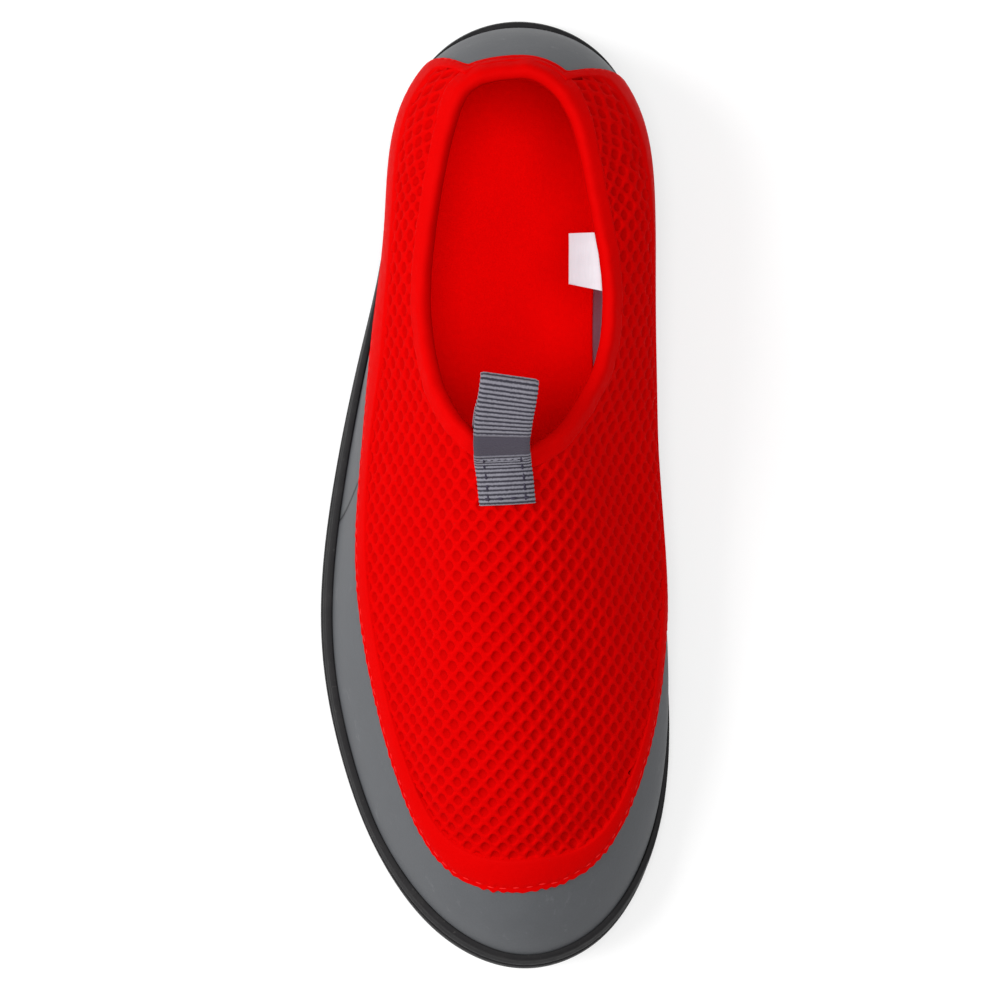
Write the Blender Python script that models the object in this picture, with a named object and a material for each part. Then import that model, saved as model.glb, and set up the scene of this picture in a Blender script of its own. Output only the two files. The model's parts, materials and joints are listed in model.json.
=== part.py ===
"""A slip-on water shoe for the right foot, built as its maker would put it together.

The shoe stands on the plane z = 0 with its toe towards -Y, its heel towards +Y and the big toe side
towards +X. Lengths are metres. The upper, its overlays, the collar, the insole and the rim of the
sole are all worked out from one function, rib_points, so that they keep their gaps.
"""

import math

import bmesh
import bpy
import numpy as np
from mathutils import Vector

# Driving dimensions of the last
SHOE_LENGTH = 0.2924
BALL_WIDTH = 0.1056
INSTEP_HEIGHT = 0.0755
HEEL_HEIGHT = 0.0640

# Outsole
FOREFOOT_THICKNESS = 0.0050
HEEL_THICKNESS = 0.0085
TOE_SPRING = 0.0125
HEEL_LIFT = 0.0030
ARCH_LIFT = 0.0030
RIM_HEIGHT = 0.0055
TOE_RIM_EXTRA = 0.0020
RIM_THICKNESS = 0.0018
SIDE_SET_IN = 0.0020
TOE_SET_IN = 0.0036
EDGE_ROUND = 0.0015
SIDE_GROOVE_DEPTH = 0.0006
SIDE_GROOVE_HEIGHT = 0.0012
TREAD_DEPTH = 0.0020
TREAD_WIDTH = 0.0028
TREAD_PITCH = 0.0105
TREAD_MARGIN = 0.0100
TREAD_WAVE = 0.0022
TREAD_STEPS = 8
TREAD_ZONES = ((0.045, 0.260), (0.560, 0.940))

# Upper and what is sewn on it
WALL = 0.0030
MESH_PROUD = 0.0005
OVERLAY = 0.0010
GAP = 0.0003
COUNTER_LIP = 0.0012
COLLAR_BAND = 0.0066
COLLAR_THICKNESS = 0.0038
COUNTER_SPREAD = 0.0210
COUNTER_SPREAD_INNER = 0.0320
COUNTER_CORNER = 0.0110
SIDE_SEAM_ALONG = 0.52

# Insole
INSOLE_THICKNESS = 0.0035
INSOLE_CLEARANCE = 0.0005
INSOLE_PINCH = 0.0064
INSOLE_PINCH_FROM = 0.18
INSOLE_PINCH_TO = 0.46
INSOLE_PINCH_EASE = 0.07

# Webbing loop at the throat
LOOP_WIDTH = 0.0160
LOOP_THICKNESS = 0.0012
# One row for each station along the webbing, from its sewn front end over the top to its inner end.
# behind, aside: how far its middle lies behind the throat's edge, and to the big toe's side
# above: its height over the throat, or None where it lies on a face
# face: 1 on top of the instep, -1 under the lining, 0 standing free
LOOP_PATH = (
    (-0.0149, 0.0016, None, 1),
    (-0.0114, 0.0012, None, 1),
    (-0.0074, 0.0008, None, 1),
    (-0.0034, 0.0002, None, 1),
    (-0.0004, -0.0002, 0.0032, 0),
    (0.0036, -0.0005, 0.0071, 0),
    (0.0091, -0.0001, 0.0107, 0),
    (0.0146, 0.0007, 0.0131, 0),
    (0.0189, 0.0013, 0.0145, 0),
    (0.0207, 0.0015, 0.0141, 0),
    (0.0215, 0.0015, 0.0129, 0),
    (0.0207, 0.0015, 0.0117, 0),
    (0.0189, 0.0013, 0.0112, 0),
    (0.0151, 0.0008, 0.0095, 0),
    (0.0120, 0.0000, 0.0070, 0),
    (0.0094, -0.0003, 0.0025, 0),
    (0.0080, -0.0003, -0.0030, 0),
    (0.0069, -0.0003, -0.0070, 0),
    (0.0041, -0.0002, -0.0094, 0),
    (-0.0019, 0.0000, None, -1),
    (-0.0069, 0.0004, None, -1),
    (-0.0119, 0.0008, None, -1),
)

# Size label inside the collar
LABEL_LENGTH = 0.0170
LABEL_REACH = 0.0072
LABEL_SAG = 0.0080
LABEL_THICKNESS = 0.0005
LABEL_BELOW_EDGE = 0.0013
LABEL_ALONG = 0.2515

# The collar band's section: how far up the band, and how deep in shares of its thickness
COLLAR_SECTION = (
    (0.00, 0.05),
    (0.12, -0.08),
    (0.45, -0.16),
    (0.80, -0.04),
    (0.96, 0.22),
    (1.00, 0.52),
    (0.95, 0.84),
    (0.78, 1.06),
    (0.40, 1.12),
    (0.00, 0.92),
)

# How finely the forms are divided
RIBS = 84
OVERLAY_ROWS = 3
MESH_ROWS = 8
LINING_ROWS = 10
LINING_CROWD = 1.8
CURVE_STEPS = 60
HEEL_CROWD = 1.2
TOE_CROWD = 0.5
LOOP_COLUMNS = 5
LABEL_ROWS = 6

# One row for each rib, round the shoe from the heel by the outer side to the toe and back.
# along, across: where it leaves the sole's outline, as shares of length and ball width
# top_along, top_across: where it meets the collar's edge, as the same shares
# climb: the collar's height there, from 0 at the heel to 1 at the throat
# rise, bulge: how far it first goes up and out, as shares of instep height and ball width
# reach, slope: how far out its last stretch to the collar begins, and how many degrees that climbs
# rand: height of the rubbery lower panel along the rib, as a share of instep height
RIB_COLUMNS = (
    "along", "across", "top_along", "top_across", "climb", "rise", "bulge", "reach", "slope", "rand",
)
RIB_TABLE = (
    (0.000, 0.045, 0.066, 0.030, 0.00, 0.345, 0.014, 0.066, 60, 0.40),
    (0.033, -0.156, 0.076, -0.072, 0.00, 0.345, 0.050, 0.085, 53, 0.34),
    (0.103, -0.262, 0.106, -0.124, -0.09, 0.320, 0.083, 0.118, 36, 0.29),
    (0.222, -0.312, 0.191, -0.176, -0.39, 0.290, 0.055, 0.125, 30, 0.27),
    (0.351, -0.394, 0.274, -0.212, -0.50, 0.270, 0.000, 0.110, 50, 0.31),
    (0.496, -0.479, 0.332, -0.208, -0.26, 0.280, -0.045, 0.100, 60, 0.40),
    (0.650, -0.512, 0.376, -0.180, 0.17, 0.300, -0.055, 0.120, 60, 0.48),
    (0.778, -0.454, 0.404, -0.134, 0.52, 0.310, -0.055, 0.190, 48, 0.52),
    (0.896, -0.322, 0.423, -0.076, 0.83, 0.320, -0.050, 0.320, 34, 0.47),
    (0.968, -0.152, 0.434, -0.025, 0.96, 0.330, -0.035, 0.530, 20, 0.43),
    (1.000, 0.086, 0.438, 0.030, 1.00, 0.340, -0.030, 0.680, 16, 0.48),
    (0.971, 0.312, 0.434, 0.087, 0.96, 0.275, 0.012, 0.550, 25, 0.46),
    (0.896, 0.446, 0.424, 0.142, 0.83, 0.215, 0.055, 0.390, 36, 0.52),
    (0.780, 0.500, 0.405, 0.199, 0.52, 0.235, 0.100, 0.250, 52, 0.55),
    (0.650, 0.487, 0.373, 0.257, 0.17, 0.290, 0.080, 0.210, 55, 0.41),
    (0.496, 0.424, 0.325, 0.298, -0.26, 0.340, 0.080, 0.190, 52, 0.33),
    (0.349, 0.391, 0.260, 0.294, -0.45, 0.350, 0.107, 0.180, 40, 0.29),
    (0.205, 0.400, 0.181, 0.243, -0.35, 0.318, 0.108, 0.210, 20, 0.27),
    (0.096, 0.394, 0.106, 0.192, -0.09, 0.320, 0.085, 0.145, 34, 0.29),
    (0.033, 0.300, 0.075, 0.130, 0.00, 0.345, 0.045, 0.085, 53, 0.34),
)


def closed_spline(knots, values, where):
    """Values at where of the periodic cubic curve through values at knots, whose last is a full turn."""
    count = len(values)
    span = np.diff(knots)
    slope = (np.roll(values, -1, 0) - values) / span[:, None]
    matrix = np.zeros((count, count))
    for i in range(count):
        matrix[i, i - 1] += span[i - 1]
        matrix[i, i] += 2 * (span[i - 1] + span[i])
        matrix[i, (i + 1) % count] += span[i]
    bend = np.linalg.solve(matrix, 6 * (slope - np.roll(slope, 1, 0)))
    where = np.mod(where, knots[-1])
    i = np.clip(np.searchsorted(knots, where, side="right") - 1, 0, count - 1)
    j = (i + 1) % count
    h = span[i][:, None]
    a = (knots[i + 1] - where)[:, None] / h
    b = 1 - a
    return (
        a * values[i]
        + b * values[j]
        + ((a**3 - a) * bend[i] + (b**3 - b) * bend[j]) * h**2 / 6
    )


def smooth_step(low, high, x):
    """0 below low, 1 above high and a soft S between them."""
    t = np.clip((np.asarray(x, float) - low) / (high - low), 0, 1)
    return t * t * (3 - 2 * t)


def rib_rows(turns):
    """The table's columns at each share of a turn round the shoe, as a dictionary of arrays."""
    table = np.array(RIB_TABLE)
    plan = np.column_stack((table[:, 0] * SHOE_LENGTH, table[:, 1] * BALL_WIDTH))
    steps = np.linalg.norm(np.roll(plan, -1, 0) - plan, axis=1)
    knots = np.concatenate(([0], np.cumsum(steps)))
    values = closed_spline(knots, table, np.asarray(turns) * knots[-1])
    return {name: values[:, i] for i, name in enumerate(RIB_COLUMNS)}


def plan_points(along, across):
    """Plan positions in the shoe's frame, the heel at +Y."""
    return np.column_stack((across * BALL_WIDTH, (0.5 - along) * SHOE_LENGTH))


def outward(points):
    """Unit normals, pointing away from the middle, of a closed plan curve."""
    run = np.roll(points, -1, 0) - np.roll(points, 1, 0)
    normal = np.column_stack((run[:, 1], -run[:, 0]))
    normal /= np.linalg.norm(normal, axis=1)[:, None]
    away = np.sum(normal * (points - points.mean(0)))
    return normal if away > 0 else -normal


def along_of(y):
    """Share of the shoe's length from the heel, for a plan position."""
    return 0.5 - np.asarray(y) / SHOE_LENGTH


def bottom_height(x, y):
    """Height of the tread's face above the floor: toe spring, heel lift and arch."""
    along = along_of(y)
    toe = np.clip((along - 0.72) / 0.28, 0, None) ** 2 * TOE_SPRING
    heel = np.clip((0.10 - along) / 0.10, 0, None) ** 2 * HEEL_LIFT
    waist = smooth_step(0.27, 0.38, along) * (1 - smooth_step(0.48, 0.60, along))
    inner_side = smooth_step(-0.3, 0.5, np.asarray(x) / BALL_WIDTH)
    return toe + heel + waist * (0.35 + 0.65 * inner_side) * ARCH_LIFT


def bed_height(x, y):
    """Height of the face that the insole lies on."""
    along = along_of(y)
    thickness = HEEL_THICKNESS + (FOREFOOT_THICKNESS - HEEL_THICKNESS) * smooth_step(0.20, 0.62, along)
    toe = np.clip((along - 0.72) / 0.28, 0, None) ** 2 * TOE_SPRING
    return toe + thickness


def even_turns(count):
    """Shares of a turn for ribs along the sole's outline, closer together round heel and toe."""
    fine = np.arange(1440) / 1440
    rows = rib_rows(fine)
    plan = plan_points(rows["along"], rows["across"])
    steps = np.linalg.norm(np.roll(plan, -1, 0) - plan, axis=1)
    heel = 1 - smooth_step(0.02, 0.20, rows["along"])
    toe = smooth_step(0.84, 0.96, rows["along"])
    steps *= 1 + HEEL_CROWD * heel + TOE_CROWD * toe
    length = np.concatenate(([0], np.cumsum(steps)))
    wanted = np.arange(count) / count * length[-1]
    return np.interp(wanted, length, np.append(fine, 1.0))


def sole_outline(turns):
    rows = rib_rows(turns)
    return plan_points(rows["along"], rows["across"])


def set_in(along):
    """How far the upper stands inside the sole's outline."""
    return SIDE_SET_IN + (TOE_SET_IN - SIDE_SET_IN) * smooth_step(0.84, 1.0, along)


def rib_curves(turns):
    """Points and outward normals of the upper's outer face, CURVE_STEPS of them up each rib."""
    rows = rib_rows(turns)
    sole = plan_points(rows["along"], rows["across"])
    sole_out = outward(sole)
    foot = sole - sole_out * set_in(rows["along"])[:, None]
    top = plan_points(rows["top_along"], rows["top_across"])
    top_out = outward(top)
    top_height = HEEL_HEIGHT + (INSTEP_HEIGHT - HEEL_HEIGHT) * rows["climb"]
    bed = bed_height(foot[:, 0], foot[:, 1]) + GAP
    reach = rows["reach"] * BALL_WIDTH
    fall = reach * np.tan(np.radians(rows["slope"]))
    handles = (
        np.column_stack((foot, bed)),
        np.column_stack((
            foot + sole_out * (rows["bulge"] * BALL_WIDTH)[:, None],
            bed + rows["rise"] * INSTEP_HEIGHT,
        )),
        np.column_stack((top + top_out * reach[:, None], top_height - fall)),
        np.column_stack((top, top_height)),
    )
    t = np.linspace(0, 1, CURVE_STEPS)[:, None, None]
    weights = ((1 - t) ** 3, 3 * (1 - t) ** 2 * t, 3 * (1 - t) * t**2, t**3)
    points = sum(w * h for w, h in zip(weights, handles))
    up = np.gradient(points, axis=0)
    round_shoe = np.roll(points, -1, 1) - np.roll(points, 1, 1)
    normals = np.cross(round_shoe, up)
    normals /= np.linalg.norm(normals, axis=2)[..., None]
    return points, normals


class Last:
    """The upper's outer face, with ways to ask for a point on it."""

    def __init__(self, count):
        self.turns = even_turns(count)
        self.points, self.normals = rib_curves(self.turns)
        steps = np.linalg.norm(np.diff(self.points, axis=0), axis=2)
        self.lengths = np.vstack((np.zeros(count), np.cumsum(steps, axis=0)))
        self.total = self.lengths[-1]
        self.rows = rib_rows(self.turns)
        self.outline = plan_points(self.rows["along"], self.rows["across"])
        self.outline_out = outward(self.outline)

    def at(self, distance, depth=0.0):
        """Points at a distance up each rib, sunk by depth along the surface's normal."""
        count = len(self.turns)
        distance = np.broadcast_to(np.asarray(distance, float), (count,))
        depth = np.broadcast_to(np.asarray(depth, float), (count,))
        found = np.empty((count, 3))
        for i in range(count):
            for axis in range(3):
                place = np.interp(distance[i], self.lengths[:, i], self.points[:, i, axis])
                normal = np.interp(distance[i], self.lengths[:, i], self.normals[:, i, axis])
                found[i, axis] = place - normal * depth[i]
        bed = bed_height(found[:, 0], found[:, 1]) + GAP
        found[:, 2] = np.where(distance > 0, np.maximum(found[:, 2], bed), bed)
        return found

    def panel_distances(self):
        """Distances up each rib of the rows of a grey panel, the first three in the rim's height."""
        top = self.rand_top()
        run = np.linalg.norm(np.roll(self.outline, -1, 0) - self.outline, axis=1)
        ahead = np.abs(np.roll(top, -1) - top) / run
        slope = np.maximum(ahead, np.roll(ahead, 1))
        top = top - GAP * (np.hypot(1, slope) - 1) * 1.5
        low = self.rim_distance()
        shares = np.arange(OVERLAY_ROWS) / (OVERLAY_ROWS - 1)
        return [low * 0, low / 2] + [low + (top - low) * share for share in shares]

    def rim_distance(self):
        """Distance up each rib to the top of the sole's rim."""
        return RIM_HEIGHT + TOE_RIM_EXTRA * smooth_step(0.85, 1.0, self.rows["along"])

    def distance_at_height(self, height, depth=0.0):
        """How far up each rib the face sunk by depth reaches a height."""
        depth = np.broadcast_to(np.asarray(depth, float), (len(self.turns),))
        sunk = self.points - self.normals * depth[None, :, None]
        low = sunk[: CURVE_STEPS // 2, :, 2]
        return np.array([
            np.interp(h, low[:, i], self.lengths[: CURVE_STEPS // 2, i])
            for i, h in enumerate(np.broadcast_to(height, (len(self.turns),)))
        ])

    def collar_start(self):
        return self.total - COLLAR_BAND

    def rand_top(self):
        """Distance up each rib to the top of the grey panels: the rand, and the counter at the heel."""
        low = self.rows["rand"] * INSTEP_HEIGHT
        full = self.collar_start() - GAP - COUNTER_LIP
        girth = self.heel_girth()
        spread = np.where(girth < 0, COUNTER_SPREAD_INNER, COUNTER_SPREAD)
        edge = 1 - smooth_step(0, COUNTER_CORNER, np.abs(girth) - spread)
        return np.minimum(low + (full - low) * edge, full)

    def heel_girth(self):
        """Distance along the sole's outline from the back of the heel, signed by side."""
        steps = np.linalg.norm(np.roll(self.outline, -1, 0) - self.outline, axis=1)
        length = np.concatenate(([0], np.cumsum(steps)))
        return np.where(length[:-1] < length[-1] / 2, length[:-1], length[:-1] - length[-1])


def closed_loft(rings, collection, name, material):
    """A solid whose skin runs through closed rings, the last ring joined to the first."""
    mesh = bmesh.new()
    rows = [[mesh.verts.new(p) for p in ring] for ring in rings]
    count = len(rows[0])
    for k, row in enumerate(rows):
        other = rows[(k + 1) % len(rows)]
        for i in range(count):
            j = (i + 1) % count
            mesh.faces.new((row[i], row[j], other[j], other[i]))
    return add_mesh(mesh, collection, name, material)


def panel_loft(outer, inner, collection, name, material):
    """A panel between two grids of points, rows by ribs, with its four edges closed."""
    mesh = bmesh.new()
    front = [[mesh.verts.new(p) for p in row] for row in outer]
    back = [[mesh.verts.new(p) for p in row] for row in inner]
    rows, ribs = len(front), len(front[0])
    for k in range(rows - 1):
        for i in range(ribs - 1):
            mesh.faces.new((front[k][i], front[k][i + 1], front[k + 1][i + 1], front[k + 1][i]))
            mesh.faces.new((back[k][i], back[k + 1][i], back[k + 1][i + 1], back[k][i + 1]))
    for k in range(rows - 1):
        for i in (0, ribs - 1):
            mesh.faces.new((front[k][i], front[k + 1][i], back[k + 1][i], back[k][i]))
    for i in range(ribs - 1):
        for k in (0, rows - 1):
            mesh.faces.new((front[k][i], front[k][i + 1], back[k][i + 1], back[k][i]))
    return add_mesh(mesh, collection, name, material)


def capped_loft(rings, collection, name, material):
    """A solid through closed rings whose first and last are filled rib to rib across the shoe."""
    mesh = bmesh.new()
    rows = [[mesh.verts.new(p) for p in ring] for ring in rings]
    count = len(rows[0])
    for row, other in zip(rows, rows[1:]):
        for i in range(count):
            j = (i + 1) % count
            mesh.faces.new((row[i], row[j], other[j], other[i]))
    for row in (rows[0], rows[-1]):
        for i in range(count // 2):
            a, b = i, i + 1
            c, d = (count - b) % count, (count - a) % count
            corners = [row[a], row[b], row[c], row[d]]
            mesh.faces.new(list(dict.fromkeys(corners)))
    return add_mesh(mesh, collection, name, material)


def add_mesh(mesh, collection, name, material):
    bmesh.ops.recalc_face_normals(mesh, faces=mesh.faces)
    data = bpy.data.meshes.new(name)
    mesh.to_mesh(data)
    mesh.free()
    data.materials.append(material)
    data.shade_smooth()
    data.set_sharp_from_angle(angle=math.radians(40))
    made = bpy.data.objects.new(name, data)
    collection.objects.link(made)
    return made


def finish(name, colour, roughness):
    """A material with the part's colour."""
    made = bpy.data.materials.new(name)
    made.use_nodes = True
    shader = made.node_tree.nodes["Principled BSDF"]
    shader.inputs["Base Color"].default_value = (*colour, 1)
    shader.inputs["Roughness"].default_value = roughness
    shader.inputs["Metallic"].default_value = 0
    return made


def build_upper(last, parts, red):
    """The hollow upper: thin behind the grey panels, full thickness above them, open at both ends."""
    step = MESH_PROUD + OVERLAY + GAP
    border = last.rand_top() + GAP
    top = last.collar_start() - GAP
    rings = [last.at(d, step) for d in last.panel_distances()[:-1]]
    rings.append(last.at(border, step))
    rings += [last.at(border + (top - border) * k / MESH_ROWS) for k in range(MESH_ROWS + 1)]
    rings += [last.at(top * (1 - k / LINING_ROWS) ** LINING_CROWD, WALL) for k in range(LINING_ROWS + 1)]
    return closed_loft(rings, parts, "upper", red)


def build_collar(last, parts, red):
    """The padded band round the opening, rounded over at its top edge."""
    start = last.collar_start()
    rings = [
        last.at(start + COLLAR_BAND * up, COLLAR_THICKNESS * deep)
        for up, deep in COLLAR_SECTION
    ]
    return closed_loft(rings, parts, "collar", red)


def ring_at_height(last, height, depth):
    """A level-following ring on the face sunk by depth."""
    return last.at(last.distance_at_height(height, depth), depth)


def build_outsole(last, parts, rubber):
    """The rubber cup: tread face, rounded edge, grooved side, rim and bed."""
    outline, out = last.outline, last.outline_out

    def ring(inset, height):
        plan = outline - out * np.broadcast_to(inset, (len(outline),))[:, None]
        return np.column_stack((plan, height))

    bottom = bottom_height(outline[:, 0], outline[:, 1])
    wall_depth = MESH_PROUD - GAP
    inner_top = last.at(last.rim_distance(), wall_depth)
    inner_middle = last.at(last.rim_distance() / 2, wall_depth)
    inner_foot = last.at(0, wall_depth)
    inner_foot[:, 2] -= GAP
    outer_top = inner_top.copy()
    outer_top[:, :2] += out * RIM_THICKNESS
    lower = ring(0, bottom + EDGE_ROUND)

    def side(share, inset):
        found = lower + (outer_top - lower) * share
        found[:, :2] -= out * inset
        return found

    middle = 0.55
    half = SIDE_GROOVE_HEIGHT / 2 / float(np.mean(inner_top[:, 2] - bottom))
    rings = [
        ring(EDGE_ROUND, bottom),
        lower,
        side(middle - half, -0.0006),
        side(middle - half * 0.6, SIDE_GROOVE_DEPTH - 0.0006),
        side(middle + half * 0.6, SIDE_GROOVE_DEPTH - 0.0006),
        side(middle + half, -0.0006),
        outer_top,
        inner_top,
        inner_middle,
        inner_foot,
    ]
    return capped_loft(rings, parts, "outsole", rubber)


def build_insole(last, parts, foam):
    """The footbed, which lies on the sole's bed inside the upper."""
    bed = bed_height(last.outline[:, 0], last.outline[:, 1])
    along = last.rows["along"]
    waist = smooth_step(INSOLE_PINCH_FROM, INSOLE_PINCH_FROM + INSOLE_PINCH_EASE, along)
    waist = waist * (1 - smooth_step(INSOLE_PINCH_TO - INSOLE_PINCH_EASE, INSOLE_PINCH_TO, along))
    depth = WALL + INSOLE_CLEARANCE + INSOLE_PINCH * waist * (last.outline[:, 0] > 0)
    foot = ring_at_height(last, bed + GAP * 2, depth)
    head = ring_at_height(last, bed + GAP + INSOLE_THICKNESS, depth)
    foot[:, 2] = bed_height(foot[:, 0], foot[:, 1]) + GAP
    head[:, 2] = foot[:, 2] + INSOLE_THICKNESS
    return capped_loft([foot, head], parts, "insole", foam)


def build_panel(last, parts, grey, name, keep):
    """One of the grey panels that fill the step in the upper's wall."""
    distances = last.panel_distances()
    outer = [last.at(d, MESH_PROUD)[keep] for d in distances]
    inner = [last.at(d, MESH_PROUD + OVERLAY)[keep] for d in distances]
    return panel_loft(outer, inner, parts, name, grey)


def surface_under(objects, start, direction):
    """The first point that a line from start meets on any of the objects."""
    best = None
    for made in objects:
        hit, place, _, _ = made.ray_cast(Vector(start), Vector(direction))
        if hit and (best is None or (place - Vector(start)).length < (best - Vector(start)).length):
            best = place
    return np.array(best)


def build_loop(last, parts, webbing, upper, collar):
    """The pull loop: webbing sewn on the instep, up over the collar, back and under the lining."""
    edge = last.at(last.total)
    throat_y = edge[:, 1].min()
    centre = []
    for behind, aside, above, face in LOOP_PATH:
        row = []
        for u in np.linspace(-0.5, 0.5, LOOP_COLUMNS):
            x, y = aside + u * LOOP_WIDTH, throat_y + behind
            z = None if above is None else INSTEP_HEIGHT + above
            if face > 0:
                z = surface_under((upper, collar), (x, y, 0.2), (0, 0, -1))[2]
                z += GAP + LOOP_THICKNESS
            elif face < 0:
                z = surface_under((upper, collar), (x, y, 0.02), (0, 0, 1))[2]
                z -= GAP + LOOP_THICKNESS
            row.append((x, y, z))
        centre.append(row)
    centre = np.array(centre)
    run = np.gradient(centre.mean(1), axis=0)
    normal = np.column_stack((np.zeros(len(run)), -run[:, 2], run[:, 1]))
    normal /= np.linalg.norm(normal, axis=1)[:, None]
    shift = normal[:, None, :] * LOOP_THICKNESS / 2
    return panel_loft(centre + shift, centre - shift, parts, "pull_loop", webbing)


def build_label(last, parts, cloth, upper, collar):
    """The blank size label, sewn in the inner side of the collar and hanging off it."""
    middle = SHOE_LENGTH * (0.5 - LABEL_ALONG)
    edge = last.at(last.total, COLLAR_THICKNESS)
    inner_side = edge[edge[:, 0] > edge[:, 0].mean()]
    edge_height = np.interp(middle, *inner_side[np.argsort(inner_side[:, 1])][:, 1:].T)
    height = edge_height - LABEL_BELOW_EDGE
    grid = []
    for i in range(LABEL_ROWS + 1):
        y = middle + LABEL_LENGTH * (i / LABEL_ROWS - 0.5)
        wall = surface_under((upper, collar), (0.0, y, height), (1, 0, 0))[0] - 2 * GAP
        row = []
        for k in range(LABEL_ROWS + 1):
            away = k / LABEL_ROWS
            row.append((wall - LABEL_REACH * away, y, height - LABEL_SAG * away**1.5))
        grid.append(row)
    grid = np.array(grid)
    thick = np.array((0, 0, LABEL_THICKNESS / 2))
    return panel_loft(grid + thick, grid - thick, parts, "size_label", cloth)


def cut_tread(sole, parts):
    """Waved grooves across the tread of the forefoot and the heel."""
    mesh = bmesh.new()
    for start, end in TREAD_ZONES:
        count = int((end - start) * SHOE_LENGTH / TREAD_PITCH) + 1
        for k in range(count):
            y = SHOE_LENGTH * (0.5 - start) - k * TREAD_PITCH
            spots = plan_width(y)
            low, high = spots[0] + TREAD_MARGIN, spots[1] - TREAD_MARGIN
            floor = float(bottom_height((low + high) / 2, y))
            add_wave(mesh, low, high, y, floor)
    bmesh.ops.recalc_face_normals(mesh, faces=mesh.faces)
    data = bpy.data.meshes.new("tread_cutter")
    mesh.to_mesh(data)
    mesh.free()
    cutter = bpy.data.objects.new("tread_cutter", data)
    parts.objects.link(cutter)
    cut = sole.modifiers.new("tread", "BOOLEAN")
    cut.operation = "DIFFERENCE"
    cut.object = cutter
    cut.solver = "EXACT"
    graph = bpy.context.evaluated_depsgraph_get()
    done = bpy.data.meshes.new_from_object(sole.evaluated_get(graph))
    sole.modifiers.clear()
    old = sole.data
    sole.data = done
    bpy.data.meshes.remove(old)
    bpy.data.objects.remove(cutter)


def plan_width(y):
    """The least and greatest x of the sole's outline at y."""
    outline = sole_outline(np.arange(400) / 400)
    near = outline[np.abs(outline[:, 1] - y) < 0.003]
    return near[:, 0].min(), near[:, 0].max()


def add_wave(mesh, low, high, y, floor):
    """One closed waved bar, TREAD_DEPTH into the tread."""
    rows = []
    for i in range(TREAD_STEPS + 1):
        x = low + (high - low) * i / TREAD_STEPS
        middle = y + TREAD_WAVE * math.cos(2 * math.pi * (x - low) / (high - low))
        rows.append([
            mesh.verts.new((x, middle + side * TREAD_WIDTH / 2, z))
            for side, z in ((-1, floor - 0.004), (1, floor - 0.004), (1, floor + TREAD_DEPTH), (-1, floor + TREAD_DEPTH))
        ])
    for row, other in zip(rows, rows[1:]):
        for i in range(4):
            j = (i + 1) % 4
            mesh.faces.new((row[i], row[j], other[j], other[i]))
    mesh.faces.new(rows[0])
    mesh.faces.new(rows[-1])


def settle(parts):
    """Moves the part so that its bounding box stands centred on the origin."""
    corners = np.array([v.co for made in parts.objects for v in made.data.vertices])
    low, high = corners.min(0), corners.max(0)
    shift = Vector(((low[0] + high[0]) / 2, (low[1] + high[1]) / 2, low[2]))
    for made in parts.objects:
        for vertex in made.data.vertices:
            vertex.co -= shift


def main():
    for old in list(bpy.data.objects):
        bpy.data.objects.remove(old)
    parts = bpy.data.collections.new("water_shoe")
    bpy.context.scene.collection.children.link(parts)
    red = finish("red_mesh", (0.80, 0.005, 0.005), 0.7)
    band = finish("red_band", (0.82, 0.005, 0.005), 0.6)
    grey = finish("grey_panel", (0.13, 0.13, 0.14), 0.55)
    rubber = finish("dark_rubber", (0.035, 0.035, 0.04), 0.6)
    foam = finish("red_footbed", (0.70, 0.005, 0.005), 0.8)
    webbing = finish("grey_webbing", (0.22, 0.21, 0.26), 0.8)
    cloth = finish("white_label", (0.80, 0.76, 0.78), 0.8)
    last = Last(RIBS)
    sole = build_outsole(last, parts, rubber)
    upper = build_upper(last, parts, red)
    collar = build_collar(last, parts, band)
    build_insole(last, parts, foam)
    bpy.context.view_layer.update()
    build_loop(last, parts, webbing, upper, collar)
    build_label(last, parts, cloth, upper, collar)
    cut_tread(sole, parts)
    seam = int(np.argmin(np.abs(last.rows["along"][: RIBS // 2] - SIDE_SEAM_ALONG)))
    front = np.arange(seam, RIBS - seam + 1)
    rear = np.concatenate((np.arange(RIBS - seam, RIBS), np.arange(0, seam + 1)))
    build_panel(last, parts, grey, "toe_rand", front)
    build_panel(last, parts, grey, "heel_counter", rear)
    settle(parts)


if __name__ == "__main__":
    main()
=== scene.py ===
"""The looks of a slip-on water shoe for the right foot, laid out as a Blender add-on.

Every piece is worked out from one form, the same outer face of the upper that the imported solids
follow, in metres. The toe points to -Y and the big toe side is +X.
"""

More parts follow.
